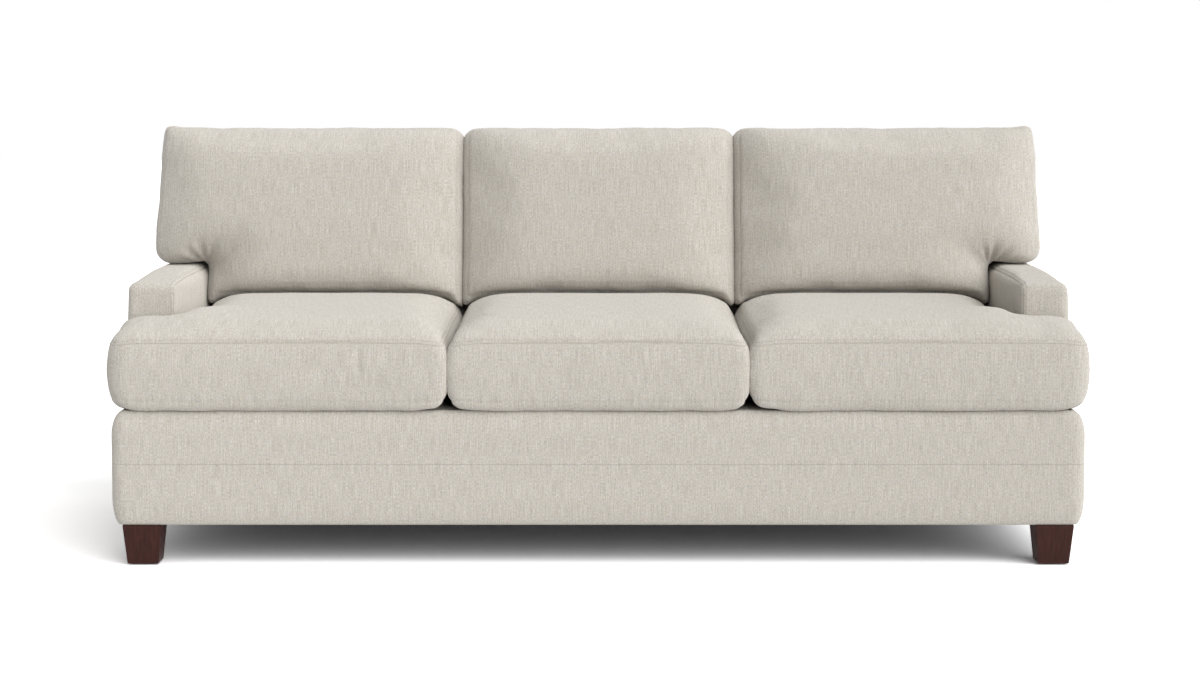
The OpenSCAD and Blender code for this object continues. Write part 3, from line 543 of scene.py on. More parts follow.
def mark_seams(piece, seams):
    """Stores the signed distance to the nearest sewn line, along which the linen paints its crease shade.

    A seam is its path and the way to its stitched side.
    """
    samples, tangents, sides, starts = [], [], [], []
    for path, side in seams:
        path = evenly(list(path), SEAM_STEP)
        step = np.gradient(path, axis=0)
        step /= np.linalg.norm(step, axis=1)[:, None] + 1e-12
        samples.append(path)
        tangents.append(step)
        sides.append(np.tile(np.array(side, float), (len(path), 1)))
        starts.append(np.arange(len(path)) * SEAM_STEP)
    samples, tangents = np.concatenate(samples), np.concatenate(tangents)
    sides, starts = np.concatenate(sides), np.concatenate(starts)
    tree = KDTree(len(samples))
    for i, p in enumerate(samples):
        tree.insert(p, i)
    tree.balance()
    points = points_of(piece)
    near = np.array([tree.find(p)[1] for p in points])
    away = points - samples[near]
    along = (away * tangents[near]).sum(1)
    across = away - tangents[near] * along[:, None]
    distance = np.linalg.norm(across, axis=1)
    past = np.abs(along) > 1.5 * SEAM_STEP
    distance[past] = np.linalg.norm(away[past], axis=1)
    sign = np.where((across * sides[near]).sum(1) >= 0, 1.0, -1.0)
    signed = np.clip(sign * distance, -FAR, FAR)
    attribute(piece, "seam", signed)
    return signed, starts[near] + along


def mark_seamless(piece):
    """Keeps the linen's painted seam shade off the piece."""
    attribute(piece, "seam", np.full(len(piece.data.vertices), FAR))


def press_seams(piece, signed, along, depth, width, pucker=0.0, seed=1):
    """Draws the cloth in along its seams, with small puckers that fade away from them."""
    pull = depth * np.exp(-(signed / width) ** 2)
    if pucker:
        close = np.abs(signed) < PUCKER_REACH
        wave = np.zeros(len(signed))
        at = np.stack([along / PUCKER_PITCH, np.full(len(along), seed * 3.3), np.sign(signed)], axis=1)
        wave[close] = [noise.noise(Vector(p)) for p in at[close]]
        clear_of_seam = 1 - np.exp(-(signed / 0.004) ** 2)
        pull += pucker * wave * np.exp(-np.abs(signed) / PUCKER_FADE) * clear_of_seam
    swell(piece, -pull)


def keep_within(piece, limits):
    """Flattens the piece where it would pass a neighbour. A limit is an axis, a side and a place."""
    points = points_of(piece)
    for axis, side, place in limits:
        edge = place(points) if callable(place) else place
        nearer = np.minimum if side < 0 else np.maximum
        points[:, axis] = nearer(points[:, axis], edge)
    set_points(piece, points)


# Cloth simulation

def evened(piece, values, times):
    """Averages a value of each point with its neighbours' along the mesh."""
    edges = np.empty(len(piece.data.edges) * 2, np.int32)
    piece.data.edges.foreach_get("vertices", edges)
    a, b = edges.reshape(-1, 2).T
    near, far = np.r_[a, b], np.r_[b, a]
    count = np.bincount(near, minlength=len(values))
    for _ in range(times):
        sums = [np.bincount(near, values[far, k], len(values)) for k in range(3)]
        values = (values + np.stack(sums, axis=1) / count[:, None]) / 2
    return values


def inflate(piece, pressure, cap, frames=20, shrink=0.0, pins=None):
    """Fills a closed cover with air, caps how far the cloth may move, and calms its wrinkles."""
    start = points_of(piece)
    cloth = piece.modifiers.new("stuffed", "CLOTH")
    settings = cloth.settings
    settings.quality = 4
    settings.mass = 0.35
    settings.tension_stiffness = settings.compression_stiffness = 18
    settings.shear_stiffness = 8
    settings.bending_stiffness = 0.6
    settings.use_pressure = True
    settings.uniform_pressure_force = pressure
    settings.shrink_min = shrink
    settings.effector_weights.gravity = 0
    cloth.collision_settings.use_collision = False
    if pins is not None:
        group = piece.vertex_groups.new(name="sewn")
        for i in np.nonzero(pins > 0.02)[0]:
            group.add([int(i)], float(pins[i]), "REPLACE")
        settings.vertex_group_mass = "sewn"
    cloth.point_cache.frame_start, cloth.point_cache.frame_end = 1, frames
    for step in range(1, frames + 1):
        bpy.context.scene.frame_set(step)
    graph = bpy.context.evaluated_depsgraph_get()
    result = piece.evaluated_get(graph).to_mesh()
    moved = vectors(result.vertices, "co") - start
    piece.modifiers.clear()
    piece.vertex_groups.clear()
    length = np.linalg.norm(moved, axis=1)
    moved *= (np.minimum(length, cap) / np.maximum(length, 1e-9))[:, None]
    broad = evened(piece, moved, 40)
    set_points(piece, start + broad + WRINKLES * (moved - broad))
    bpy.context.scene.frame_set(1)


# Stitches and staples

def stitch_tree():
    """Geometry Nodes: rounded lengths of thread or wire, set end to end along a path."""
    tree = bpy.data.node_groups.new("rows of stitches", "GeometryNodeTree")

    def socket(name, kind, way="INPUT"):
        return tree.interface.new_socket(name, in_out=way, socket_type="NodeSocket" + kind).identifier

    def add(kind, inputs, **settings):
        return add_node(tree, kind, inputs, settings).outputs

    asked = {"Path": socket("Path", "Geometry")}
    for name in ("Pitch", "Length", "Thickness"):
        asked[name] = socket(name, "Float")
    asked["Finish"] = socket("Finish", "Material")
    socket("Stitches", "Geometry", "OUTPUT")
    given = tree.nodes.new("NodeGroupInput").outputs
    path = add("GeometryNodeMeshToCurve", {"Mesh": given["Path"]})["Curve"]
    row = add("GeometryNodeCurveToPoints", {"Curve": path, "Length": given["Pitch"]}, mode="LENGTH")
    thick = given["Thickness"]
    size = add("ShaderNodeCombineXYZ", {"X": thick, "Y": thick, "Z": given["Length"]})
    bead = add("GeometryNodeMeshUVSphere", {"Segments": 6, "Rings": 5, "Radius": 0.5})["Mesh"]
    stitch = add("GeometryNodeTransform", {"Geometry": bead, "Scale": size["Vector"]})["Geometry"]
    set_out = add("GeometryNodeInstanceOnPoints", {"Points": row["Points"], "Instance": stitch,
                                                   "Rotation": row["Rotation"]})["Instances"]
    real = add("GeometryNodeRealizeInstances", {"Geometry": set_out})["Geometry"]
    done = add("GeometryNodeSetMaterial", {"Geometry": real, "Material": given["Finish"]})["Geometry"]
    tree.links.new(done, tree.nodes.new("NodeGroupOutput").inputs["Stitches"])
    return tree, asked


def sew(name, body, paths, cloth, sizes, material):
    """One body's stitches, laid on its cloth along the paths. The sizes are pitch, length and thickness."""
    surface = tree_of(cloth)
    points, edges = [], []
    for path in paths:
        first = len(points)
        for p in evenly(list(path), 2 * SEAM_STEP):
            on, normal, _, _ = surface.find_nearest(Vector(p))
            points.append(on + normal * sizes[2] * 0.2)
        edges += [(i, i + 1) for i in range(first, len(points) - 1)]
    mesh = bpy.data.meshes.new(name)
    mesh.from_pydata([tuple(p) for p in points], edges, [])
    piece = add_object(name, mesh)
    modifier = piece.modifiers.new("stitches", "NODES")
    modifier.node_group = STITCHES
    for key, value in zip(("Pitch", "Length", "Thickness", "Finish"), (*sizes, material)):
        modifier[STITCH_INPUTS[key]] = value
    baked(piece)
    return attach(piece, body)


def tree_of(piece):
    faces = [tuple(face.vertices) for face in piece.data.polygons]
    return BVHTree.FromPolygons([tuple(p) for p in points_of(piece)], faces)


# The sofa's own pieces

LINEN = linen("oat linen", LINEN_SEAM_SHADE_SHARE)
# Linen with strong painted shade along the back cushions' seams, for the shade in the cracks between them.
BACK_LINEN_SHADED_SEAMS = linen("oat linen with painted shade at the back cushions' seams", BACK_SEAM_SHADE_SHARE)
STITCHED_LINEN = linen("oat linen with painted shade along a topstitched seam", SEAM_SHADE_SHARE, STITCH_ROW_SHADE_SHARE)
THREAD = plain_finish("linen sewing thread", (206, 200, 188), (900, 900, 900), 0.10, 0.0002, Roughness=0.9)
WALNUT = stained_walnut()
PINE = ((214, 184, 140), (186, 150, 104))
PINE_X = timber("sawn pine along the sofa", *PINE, "x")
PINE_Y = timber("sawn pine front to back", *PINE, "y")
PINE_Z = timber("sawn pine upright", *PINE, "z")
PLYWOOD = timber("birch plywood", (224, 200, 160), (202, 174, 130), "x")
DOWEL = timber("beech dowel", (226, 198, 158), (204, 170, 126), "y")
ZINC = plain_finish("zinc plated steel", (168, 170, 174), (400, 400, 400), 0.2, 0.0002,
                    Metallic=0.9, Roughness=0.36)
PAPER_WIRE = plain_finish("paper covered wire", (196, 180, 150), (900, 900, 900), 0.2, 0.0004,
                          Roughness=0.85)
FELT = plain_finish("needled felt", (148, 142, 132), (420, 420, 420), 0.35, 0.0012, Roughness=0.98)
WEBBING = plain_finish("black webbing", (34, 34, 36), (60, 900, 900), 0.4, 0.0005, Roughness=0.8)
DUST_CLOTH = plain_finish("black spun cloth", (30, 30, 31), (500, 500, 90), 0.35, 0.0003, Roughness=0.95)
GLIDE = plain_finish("moulded glide plastic", (38, 37, 36), (600, 600, 600), 0.15, 0.0002, Roughness=0.5)

STITCHES, STITCH_INPUTS = stitch_tree()


def inside_at(z):
    """Where the inside back stands at a height."""
    return INSIDE_Y + (z - DECK_Z) * math.tan(RAKE)


def finish_frame():
    """Gives each carried-over node its material."""
    finishes = {
        GLIDE: ["leg_glides"],
        ZINC: ["leg_bolts", "leg_nuts", "seat_springs", "spring_clips", "back_bolts", "arm_bolts"],
        PINE_X: ["corner_blocks", "front_rail", "back_rail", "rear_seat_rail", "back_top_rail",
                 "tuck_rail"],
        PINE_Y: ["left_side_rail", "right_side_rail", "inner_stringers", "centre_stretchers",
                 "arm_top_boards", "arm_bottom_rails"],
        PINE_Z: ["left_end_post", "right_end_post", "back_uprights", "arm_front_posts"],
        PLYWOOD: ["ear_boards"], DOWEL: ["frame_dowels"], PAPER_WIRE: ["tie_wires"], FELT: ["insulator"],
        WEBBING: ["back_webbing"],
    }
    for material, names in finishes.items():
        for name in names:
            nodes[name].data.materials.clear()
            nodes[name].data.materials.append(material)


def make_legs():
    """Square tapered legs with eased edges."""
    for node in ("front_left_leg", "front_right_leg", "rear_left_leg", "rear_right_leg"):
        low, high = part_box(node)
        cx, cy = (low.x + high.x) / 2, (low.y + high.y) / 2
        top, foot = (high.x - low.x) / 2, LEG_FOOT
        work = bmesh.new()
        corners = [work.verts.new((cx + sx * r, cy + sy * r, z)) for z, r in ((low.z, foot), (high.z, top))
                   for sx, sy in ((-1, -1), (1, -1), (1, 1), (-1, 1))]
        for face in ((3, 2, 1, 0), (4, 5, 6, 7), (0, 1, 5, 4), (1, 2, 6, 5), (2, 3, 7, 6), (3, 0, 4, 7)):
            work.faces.new([corners[i] for i in face])
        bmesh.ops.bevel(work, geom=work.edges[:], offset=LEG_EASE, segments=3, profile=0.5, affect="EDGES")
        bmesh.ops.recalc_face_normals(work, faces=work.faces)
        mesh = bpy.data.meshes.new(node + "_stained")
        work.to_mesh(mesh)
        work.free()
        leg = add_object(node + "_stained", mesh)
        mesh.materials.append(WALNUT)
        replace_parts(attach(leg, "frame"), node)


def quarter(depth, height, steps):
    """Inward offset and rise along a rolled edge."""
    return [(depth * (1 - math.cos(a)), height * math.sin(a)) for a in np.linspace(0, math.pi / 2, steps)]


def base_path():
    """Plan of the base: along the left side, the front and the right side, with the way inward."""
    left = [((-HALF_W, y), (1, 0)) for y in np.linspace(PANEL_Y, FRONT_Y + CORNER_R, 62)]
    for a in np.linspace(0, math.pi / 2, 9)[1:-1]:
        at = (-HALF_W + CORNER_R * (1 - math.cos(a)), FRONT_Y + CORNER_R * (1 - math.sin(a)))
        left.append((at, (math.cos(a), math.sin(a))))
    front = [((x, FRONT_Y), (0, 1)) for x in np.linspace(-HALF_W + CORNER_R, HALF_W - CORNER_R, 150)]
    right = [((-x, y), (-nx, ny)) for (x, y), (nx, ny) in reversed(left)]
    return left + front + right


def make_base():
    """Two padded bands round the base, sewn to each other, that roll over the deck before the arms."""
    dip, reach = SEAM_DIP

    def sewn(level, way):
        return [(dip * (1 - math.sin(a)) ** 1.5, level + way * reach * a / (math.pi / 2))
                for a in np.linspace(0, math.pi / 2, 6)]

    def lower(free):
        foot = [(d, BASE_Z + FOOT_ROLL[1] - h) for d, h in reversed(quarter(*FOOT_ROLL, 9))]
        foot[0] = (FOOT_ROLL[0], BASE_Z)
        outer = foot + [(0, z) for z in np.linspace(BASE_Z + FOOT_ROLL[1], SEAM_Z - reach, 6)[1:-1]]
        outer += sewn(SEAM_Z - TOUCH, -1)[::-1]
        return outer + [(BORDER_T, SEAM_Z - TOUCH), (BORDER_T, BASE_Z)]

    def upper(free):
        outer = sewn(SEAM_Z + TOUCH, 1)
        low = SEAM_Z + reach
        turn = [(d, DECK_Z - TOP_ROLL[1] + h) for d, h in quarter(*TOP_ROLL, 9)]
        flat = sewn(DECK_Z - CLEAR, -1)[::-1]
        flat = [(0, z) for z in np.linspace(DECK_Z - TOP_ROLL[1], flat[0][1], 4)[:-1]] + flat
        rolled = [tuple(p * free + q * (1 - free) for p, q in zip(a, b)) for a, b in zip(turn, flat)]
        outer += [(0, z) for z in np.linspace(low, DECK_Z - TOP_ROLL[1], 5)[1:-1]] + rolled
        return outer + [(max(BORDER_T, outer[-1][0] + 0.002), outer[-1][1]), (BORDER_T, SEAM_Z + TOUCH)]

    for name, section, stands_for in (
            ("base_band_lower", lower, ["front_border_lower"]),
            ("base_band_upper", upper, ["front_border_upper", "left_side_border", "right_side_border"])):
        rings = []
        for (x, y), (nx, ny) in base_path():
            free = min(1, max(0, (ARM_FRONT + 0.012 - y) / 0.024))
            free = free * free * (3 - 2 * free)
            rings.append([np.array([x + nx * d, y + ny * d, z]) for d, z in section(free)])
        piece = make_piece(name, *loft(rings), LINEN)
        faces_outward(piece)
        points = points_of(piece)
        outer = np.minimum(1, np.minimum(np.abs(points[:, 2] - SEAM_Z), 0.03) / 0.03)
        sway = 0.0011 * ripple(points, 0.16, 3) + 0.0005 * ripple(points, 0.05, 4)
        hem = np.minimum(1, (points[:, 2] - BASE_Z) / 0.02)
        swell(piece, sway * outer * hem)
        # The waist seam is marked for the linen's light painted crease shade.
        path = [(x + nx * dip, y + ny * dip, SEAM_Z) for (x, y), (nx, ny) in base_path()]
        mark_seams(piece, [(path, (0, 0, 1))])
        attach(piece, "frame")
        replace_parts(piece, *stands_for)


def arm_top(y):
    """Height of the arm's top, which climbs a little towards the back."""
    share = np.clip((y - ARM_FRONT) / 0.30, 0, 1)
    return ARM_Z + ARM_RISE * share * share * (3 - 2 * share)


def arm_seam_r(y):
    """Radius of the arm's inner top edge, which softens towards the back."""
    return ARM_SEAM_R + ARM_SOFTER * (arm_top(y) - ARM_Z) / ARM_RISE


def arm_form(side):
    """A closed block with the arm's section, its front fold and its sewn inner edge."""
    rings = []
    depths = [0, 0.001, 0.003, 0.006, 0.010, 0.015, ARM_FOLD_R, 0.03, 0.045]
    depths += list(np.linspace(0.07, PANEL_Y - ARM_FRONT, 24))
    for depth in depths:
        high = arm_top(ARM_FRONT + depth)

        def cut(r):
            short = max(0.0, r - depth)
            return r - math.sqrt(max(0.0, r * r - short * short))
        top, outer, inner = cut(ARM_FOLD_R), cut(ARM_FOLD_R), cut(ARM_SEAM_R)
        corners = [(ARM_IN + inner, DECK_Z), (HALF_W - outer, DECK_Z), (HALF_W - outer, high - top),
                   (ARM_IN + ARM_LEAN + inner, high - top)]
        radii = [0.001, 0.001, ARM_OUTER_R - 0.3 * top, arm_seam_r(ARM_FRONT + depth)]
        loop = rounded_loop(corners, radii, 0.75 / ARM_POINTS)
        loop = evenly(list(loop), 0.001, closed=True)
        at = np.linspace(0, len(loop), ARM_POINTS, endpoint=False).astype(int)
        rings.append([np.array([side * x, ARM_FRONT + depth, z]) for x, z in loop[at]])
    return loft(rings)


def arm_seam(side):
    """The sewn line along the inner top edge of an arm and down its front."""
    top = []
    for y in np.linspace(PANEL_Y, ARM_SEAM_Y + ARM_BEND, 40):
        softer = 0.31 * (arm_seam_r(y) - ARM_SEAM_R)
        top.append((side * (ARM_SEAM_X + softer), y, ARM_SEAM_Z - ARM_Z + arm_top(y) - softer))
    bend = [(side * ARM_SEAM_X, ARM_SEAM_Y + ARM_BEND * (1 - math.sin(a)),
             ARM_SEAM_Z - ARM_BEND * (1 - math.cos(a))) for a in np.linspace(0, math.pi / 2, 6)[1:-1]]
    high = ARM_SEAM_Z - ARM_BEND
    front = [(side * (ARM_SEAM_X - ARM_LEAN * share), ARM_SEAM_Y, high - (high - DECK_Z) * share)
             for share in np.linspace(0, 1, 20)]
    return top + bend + front


def make_arm(side, word):
    """A padded arm cover with its topstitched seam."""
    piece = make_piece(word + "_arm", *arm_form(side), STITCHED_LINEN)
    faces_outward(piece)
    remeshed(piece, ARM_MESH, 4)
    points, normals = points_of(piece), normals_of(piece)
    low = np.clip((points[:, 2] - DECK_Z) / 0.03, 0, 1)
    sway = 0.0012 * ripple(points, 0.13, 11 + side) + 0.0006 * ripple(points, 0.045, 14 + side)
    points += normals * (sway * low)[:, None]
    outer = np.clip((side * points[:, 0] - ARM_IN) / (HALF_W - ARM_IN), 0, 1)
    rise = np.clip((points[:, 2] - DECK_Z) / (ARM_Z - DECK_Z), 0, 1)
    ahead = np.clip(1.25 - 1.5 * (points[:, 1] - ARM_FRONT) / (PANEL_Y - ARM_FRONT), 0, 1)
    points[:, 0] -= side * ARM_TAPER * outer * rise * ahead
    set_points(piece, points)
    seam = arm_seam(side)
    # The marked seam also carries the linen's painted crease shade along the seam and its topstitch row.
    signed, along = mark_seams(piece, [(seam, (side, 0, 0))])
    press_seams(piece, signed, along, *ARM_PULL, 5 + side)
    keep_within(piece, [(2, 1, DECK_Z), (1, -1, PANEL_Y - CLEAR)])
    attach(piece, "frame")
    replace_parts(piece, word + "_arm_cover", word + "_arm_pad")
    row = [(x + side * STITCH_OFFSET, y - 0.01 * (z < ARM_SEAM_Z), z + 0.01 * (y > ARM_SEAM_Y))
           for x, y, z in seam[:-1]]
    sew(word + "_arm_stitches", "frame", [row], piece, TOPSTITCH, THREAD)


def make_back_cover():
    """The upholstered back behind the cushions, wider above the arms."""
    def wedge(half, low):
        top = [(inside_at(BACK_Z) + BACK_ROLL * (1 - math.cos(a)), BACK_Z - BACK_ROLL * (1 - math.sin(a)))
               for a in np.linspace(0.2, math.pi / 2, 7)]
        section = [(inside_at(low), low), (PANEL_Y, low), (PANEL_Y, BACK_Z)] + top[::-1]
        section = evenly(section, 0.02, closed=True)
        return [[np.array([x, y, z]) for y, z in section] for x in np.linspace(-half, half, 40)]

    points, faces = [], []
    for half, low in ((ARM_IN - 0.0005, DECK_Z + CLEAR), (HALF_W - 0.0005, ARM_REAR_Z + 0.0008)):
        more, rings = loft(wedge(half, low))
        faces += [tuple(i + len(points) for i in face) for face in rings]
        points += more
    piece = make_piece("back_cover", points, faces, LINEN)
    remeshed(piece, COVER_MESH, 5)
    swell(piece, 0.0012 * ripple(points_of(piece), 0.16, 21))
    keep_within(piece, [(1, -1, PANEL_Y - CLEAR), (0, -1, HALF_W - 0.0003), (0, 1, -HALF_W + 0.0003)])
    mark_seamless(piece)
    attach(piece, "frame")
    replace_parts(piece, "inside_back_cover", "inside_back_pad")


def make_outside_back():
    """The panel that closes the back from behind, with a flat face that ripples a little."""
    low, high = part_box("outside_back")
    corners = [(low.x, low.z), (high.x, low.z), (high.x, high.z), (low.x, high.z)]
    loop = rounded_loop(corners, [PANEL_R] * 4, PANEL_R / 2)
    into = inward(loop)
    rings = []
    for d, y in ((0.010, low.y), (0.003, low.y), (0.0, low.y + 0.002), (0.0, low.y + 0.005),
                 (0.0012, low.y + 0.0068), (0.005, high.y - 0.0012), (0.010, high.y - 0.0004)):
        at = loop + into * d
        rings.append([np.array([x, y, z]) for x, z in at])
    centre = np.array([0, (low.z + high.z) / 2])
    for share in np.linspace(0.98, 0.03, 36):
        at = centre + (loop + into * 0.010 - centre) * share
        rings.append([np.array([x, high.y - 0.0004, z]) for x, z in at])
    panel = make_piece("outside_back_panel", *loft(rings), LINEN)
    faces_outward(panel)
    points = points_of(panel)
    rear = points[:, 1] > high.y - 0.001
    pull = 0.0008 + 0.0009 * ripple(points, 0.24, 31) + 0.0002 * ripple(points, 0.11, 32)
    points[rear, 1] -= np.clip(pull[rear], 0, 0.003)
    set_points(panel, points)
    mark_seamless(panel)
    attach(panel, "frame")
    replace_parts(panel, "outside_back")


def slab(name, xs, ys, kept, top, thickness, material):
    """A closed sheet over the grid cells that kept(x, y) picks, its upper face at height top(x, y)."""
    cells = [(i, j) for j in range(len(ys) - 1) for i in range(len(xs) - 1)
             if kept((xs[i] + xs[i + 1]) / 2, (ys[j] + ys[j + 1]) / 2)]
    held, index, points, faces = set(cells), {}, [], []

    def corner(place, drop):
        if (place, drop) not in index:
            index[place, drop] = len(points)
            x, y = xs[place[0]], ys[place[1]]
            points.append((x, y, top(x, y) - drop))
        return index[place, drop]

    for i, j in cells:
        around = [(i, j), (i + 1, j), (i + 1, j + 1), (i, j + 1)]
        faces.append([corner(c, 0) for c in around])
        faces.append([corner(c, thickness) for c in reversed(around)])
        across = ((i, j - 1), (i + 1, j), (i, j + 1), (i - 1, j))
        for a, b, beyond in zip(around, around[1:] + around[:1], across):
            if beyond not in held:
                faces.append([corner(a, thickness), corner(b, thickness), corner(b, 0), corner(a, 0)])
    return make_piece(name, points, faces, material)


def make_deck():
    """The cloth under the seat cushions, full width in front of the arms and between them behind."""
    low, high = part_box("deck_cloth")
    side, inner, turn = high.x, ARM_IN - CLEAR, 0.020
    xs = np.r_[-side, np.linspace(-side + turn, -inner, 6), np.linspace(-inner, inner, 98)[1:-1],
               np.linspace(inner, side - turn, 6), side]
    ys = np.r_[low.y, np.linspace(low.y + turn, ARM_FRONT - CLEAR, 11),
               np.linspace(ARM_FRONT - CLEAR, high.y, 28)[1:]]

    def slack(x, y):
        return DECK_Z - 0.0013 - 0.0009 * noise.noise(Vector((x, y, 0.4)) / 0.12)

    piece = slab("deck_sheet", xs, ys, lambda x, y: y < ARM_FRONT or abs(x) < inner, slack, 0.010, LINEN)
    points = points_of(piece)
    across = np.clip(np.abs(points[:, 0]) - (side - turn), 0, None)
    ahead = np.clip(low.y + turn - points[:, 1], 0, None)
    corner = (across > 0) & (ahead > 0)
    pull = 1 - turn / np.hypot(across, ahead)[corner]
    points[corner, 0] -= np.sign(points[corner, 0]) * across[corner] * pull
    points[corner, 1] += ahead[corner] * pull
    set_points(piece, points)
    mark_seamless(piece)
    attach(piece, "frame")
    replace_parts(piece, "deck_cloth", "deck_pad", "ear_pads", "edge_roll")


def make_dust_cover():
    """Black spun cloth stapled under the frame, sagging a little between its staples."""
    low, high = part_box("dust_cover")
    wide, deep = high.x - low.x, high.y - low.y

    def hung(x, y):
        middle = max(0.0, math.sin(math.pi * (x - low.x) / wide) * math.sin(math.pi * (y - low.y) / deep))
        wave = 0.0006 * noise.noise(Vector((x / 0.15, y / 0.11, 3))) * middle
        return low.z + 0.0008 - 0.0022 * middle ** 0.6 - wave

    xs, ys = np.linspace(low.x, high.x, 110), np.linspace(low.y, high.y, 50)
    piece = slab("dust_cloth", xs, ys, lambda x, y: True, hung, 0.0006, DUST_CLOTH)
    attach(piece, "frame")
    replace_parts(piece, "dust_cover")
    inset = 0.010
    left, right, front, rear = low.x + inset, high.x - inset, low.y + inset, high.y - inset
    corners = [(left, front), (right, front), (right, rear), (left, rear), (left, front)]
    hem = [(x, y, low.z - 0.01) for x, y in corners]
    sew("dust_cover_staples", "frame", [hem], piece, STAPLE, ZINC)


# Cushions

def hump(t, power):
    return np.maximum(0, 1 - np.abs(t) ** power)


def near_corners(loop, corners, reach=0.045):
    """1 at the named corners of an outline, falling to 0 away from them."""
    weight = np.zeros(len(loop))
    for c in corners:
        weight = np.maximum(weight, np.exp(-((loop - np.array(c)) ** 2).sum(1) / reach ** 2))
    return weight


def softened(values, times=6):
    for _ in range(times):
        values = (np.roll(values, 1) + 2 * values + np.roll(values, -1)) / 4
    return values


def turned_over(side, corners, radii, hub):
    """A cushion's outline, drawn for the left and turned over for the right."""
    if side > 0:
        return [(-x, y) for x, y in corners][::-1], radii[::-1], hub * (-1, 1)
    return corners, radii, hub


def flanks(loop, beside_arm):
    """Where an outline is pressed by a neighbour or, at the given points, by the arm."""
    x = np.abs(loop[:, 0])
    return (np.abs(x - (INNER_X + GAP_X) / 2) < 0.014) | (np.abs(x - ARM_SIDE) < 0.012) & beside_arm


def side_limits(side, outer):
    """Keeps a cushion clear of its neighbours."""
    if side == 0:
        return [(0, 1, -GAP_X), (0, -1, GAP_X)]
    return [(0, side, side * INNER_X), (0, -side, outer)]


def seat_side(y):
    """Height of a seat cushion's sewn edge, which climbs towards the back."""
    return SEAT_T + SEAT_CLIMB * ((y - SEAT_FRONT) / (INSIDE_Y - SEAT_FRONT)) ** 3


def rolled_over(x, y, panels, wide, tall, power):
    """0 at the sewn edge of a cover, rising to about 1 inside it. Its outline is panels that overlap.

    A panel is its x and y limits and how quickly the cover rises from its lowest edge.
    """
    def edge(d, width):
        return 1 - np.exp(-(np.maximum(0, d - SEAM_INSET) / width) ** power)
    shares = [edge(x - x0, wide) * edge(x1 - x, wide) * edge(y - y0, foot) * edge(y1 - y, tall)
              for x0, x1, y0, y1, foot in panels]
    return (np.array(shares) ** 8).sum(0) ** 0.125


def seat_panels(side):
    """The rectangles that overlap to make a seat cushion's outline."""
    rear = INSIDE_Y - CLEAR
    if side == 0:
        return [(-GAP_X, GAP_X, SEAT_FRONT, rear, SEAT_EDGE)]
    wide, deep = sorted((side * INNER_X, side * EAR_X)), sorted((side * INNER_X, side * ARM_IN))
    return [(*wide, SEAT_FRONT, ARM_FRONT, SEAT_EDGE), (*deep, SEAT_FRONT, rear, SEAT_EDGE)]


def back_panels(side):
    """The rectangles that overlap to make a back cushion's outline."""
    if side == 0:
        return [(-GAP_X, GAP_X, 0, BACK_H, FOOT_EDGE)]
    wide, tall = sorted((side * INNER_X, side * HALF_W)), sorted((side * INNER_X, side * ARM_IN))
    return [(*wide, EAR_V, BACK_H, EAR_EDGE), (*tall, 0, BACK_H, FOOT_EDGE)]


def seat_rise(x, y, panels):
    """Height of the top panel over the sewn edge: a quick puff, then the crown."""
    x0, x1, y0, y1, _ = panels[-1]
    middle = y0 + 0.54 * (y1 - y0)
    off = np.abs(x - (x0 + x1) / 2) * 2 / (x1 - x0)
    dome = hump(off * 0.96, 5) * hump((y - middle) / (middle - y0), 3)
    beside = ((np.abs(x) - SEAT_EAR_X) / 0.13) ** 2
    ear = SEAT_EAR_SWELL * np.exp(-beside - ((y - ARM_FRONT) / 0.10) ** 2)
    return SEAT_PUFF[0] * rolled_over(x, y, panels, *SEAT_PUFF[1:]) + SEAT_CROWN * dome + ear


def seat_form(loop, hub, panels, ease, pressed, corner, foot):
    """Rings from the flat underside, round the boxed side, to the crowned top."""
    into = inward(loop)
    bottom = DECK_Z + CLEAR
    lift, pinch = SEAT_LIFT * foot, SEAT_PINCH * corner

    def sag(at):
        """The front of the underside hangs a little over the base."""
        return SEAT_SAG[0] * np.exp(-((at[:, 1] - SEAT_FRONT) / SEAT_SAG[1]) ** 2)

    rings = []

    def ring(at, z):
        rings.append(np.column_stack([at, z]))

    for share in (0.25, 0.6, 0.85):
        at = hub + (loop + into * 0.05 - hub) * share
        ring(at, np.full(len(at), bottom + ease))
    for d, z in SEAT_UNDER:
        at = loop + into * (d + ease)
        ring(at, bottom + ease + z + lift * min(1, (0.056 - d) / 0.04) - sag(at))
    foot_z = SEAT_UNDER[-1][1]
    for d, share in SEAT_BOXING:
        bulge = SEAT_BULGE * pressed * math.sin(math.pi * share)
        at = loop + into * (d + ease - bulge)[:, None]
        side = seat_side(at[:, 1]) - ease - pinch
        ring(at, bottom + foot_z + (lift - sag(at)) * (1 - share) + (side - foot_z) * share)
    for d in (0.014, 0.022, 0.034, 0.050):
        at = loop + into * (d + ease)
        pinched = pinch * (0.056 - d) / 0.048
        ring(at, bottom - ease + seat_side(at[:, 1]) + seat_rise(*at.T, panels) - pinched)
    for share in CROWN_SHARES:
        at = hub + (loop + into * 0.05 - hub) * share
        ring(at, bottom - ease + seat_side(at[:, 1]) + seat_rise(*at.T, panels))
    return loft(rings)


def seat_seams(loop, corner, foot):
    """The sewn lines round the top and the bottom of a seat cushion's boxing, with the way down."""
    into = inward(loop)
    lines = []
    for d, top in ((SEAT_BOXING[-1][0], True), (SEAT_UNDER[-1][0], False)):
        at = loop + into * d
        above = seat_side(at[:, 1]) - SEAT_PINCH * corner if top else SEAT_UNDER[-1][1] + SEAT_LIFT * foot
        z = DECK_Z + CLEAR + above
        path = np.column_stack([at, z])
        lines.append((list(path) + [path[0]], (0, 0, -1)))
    return lines


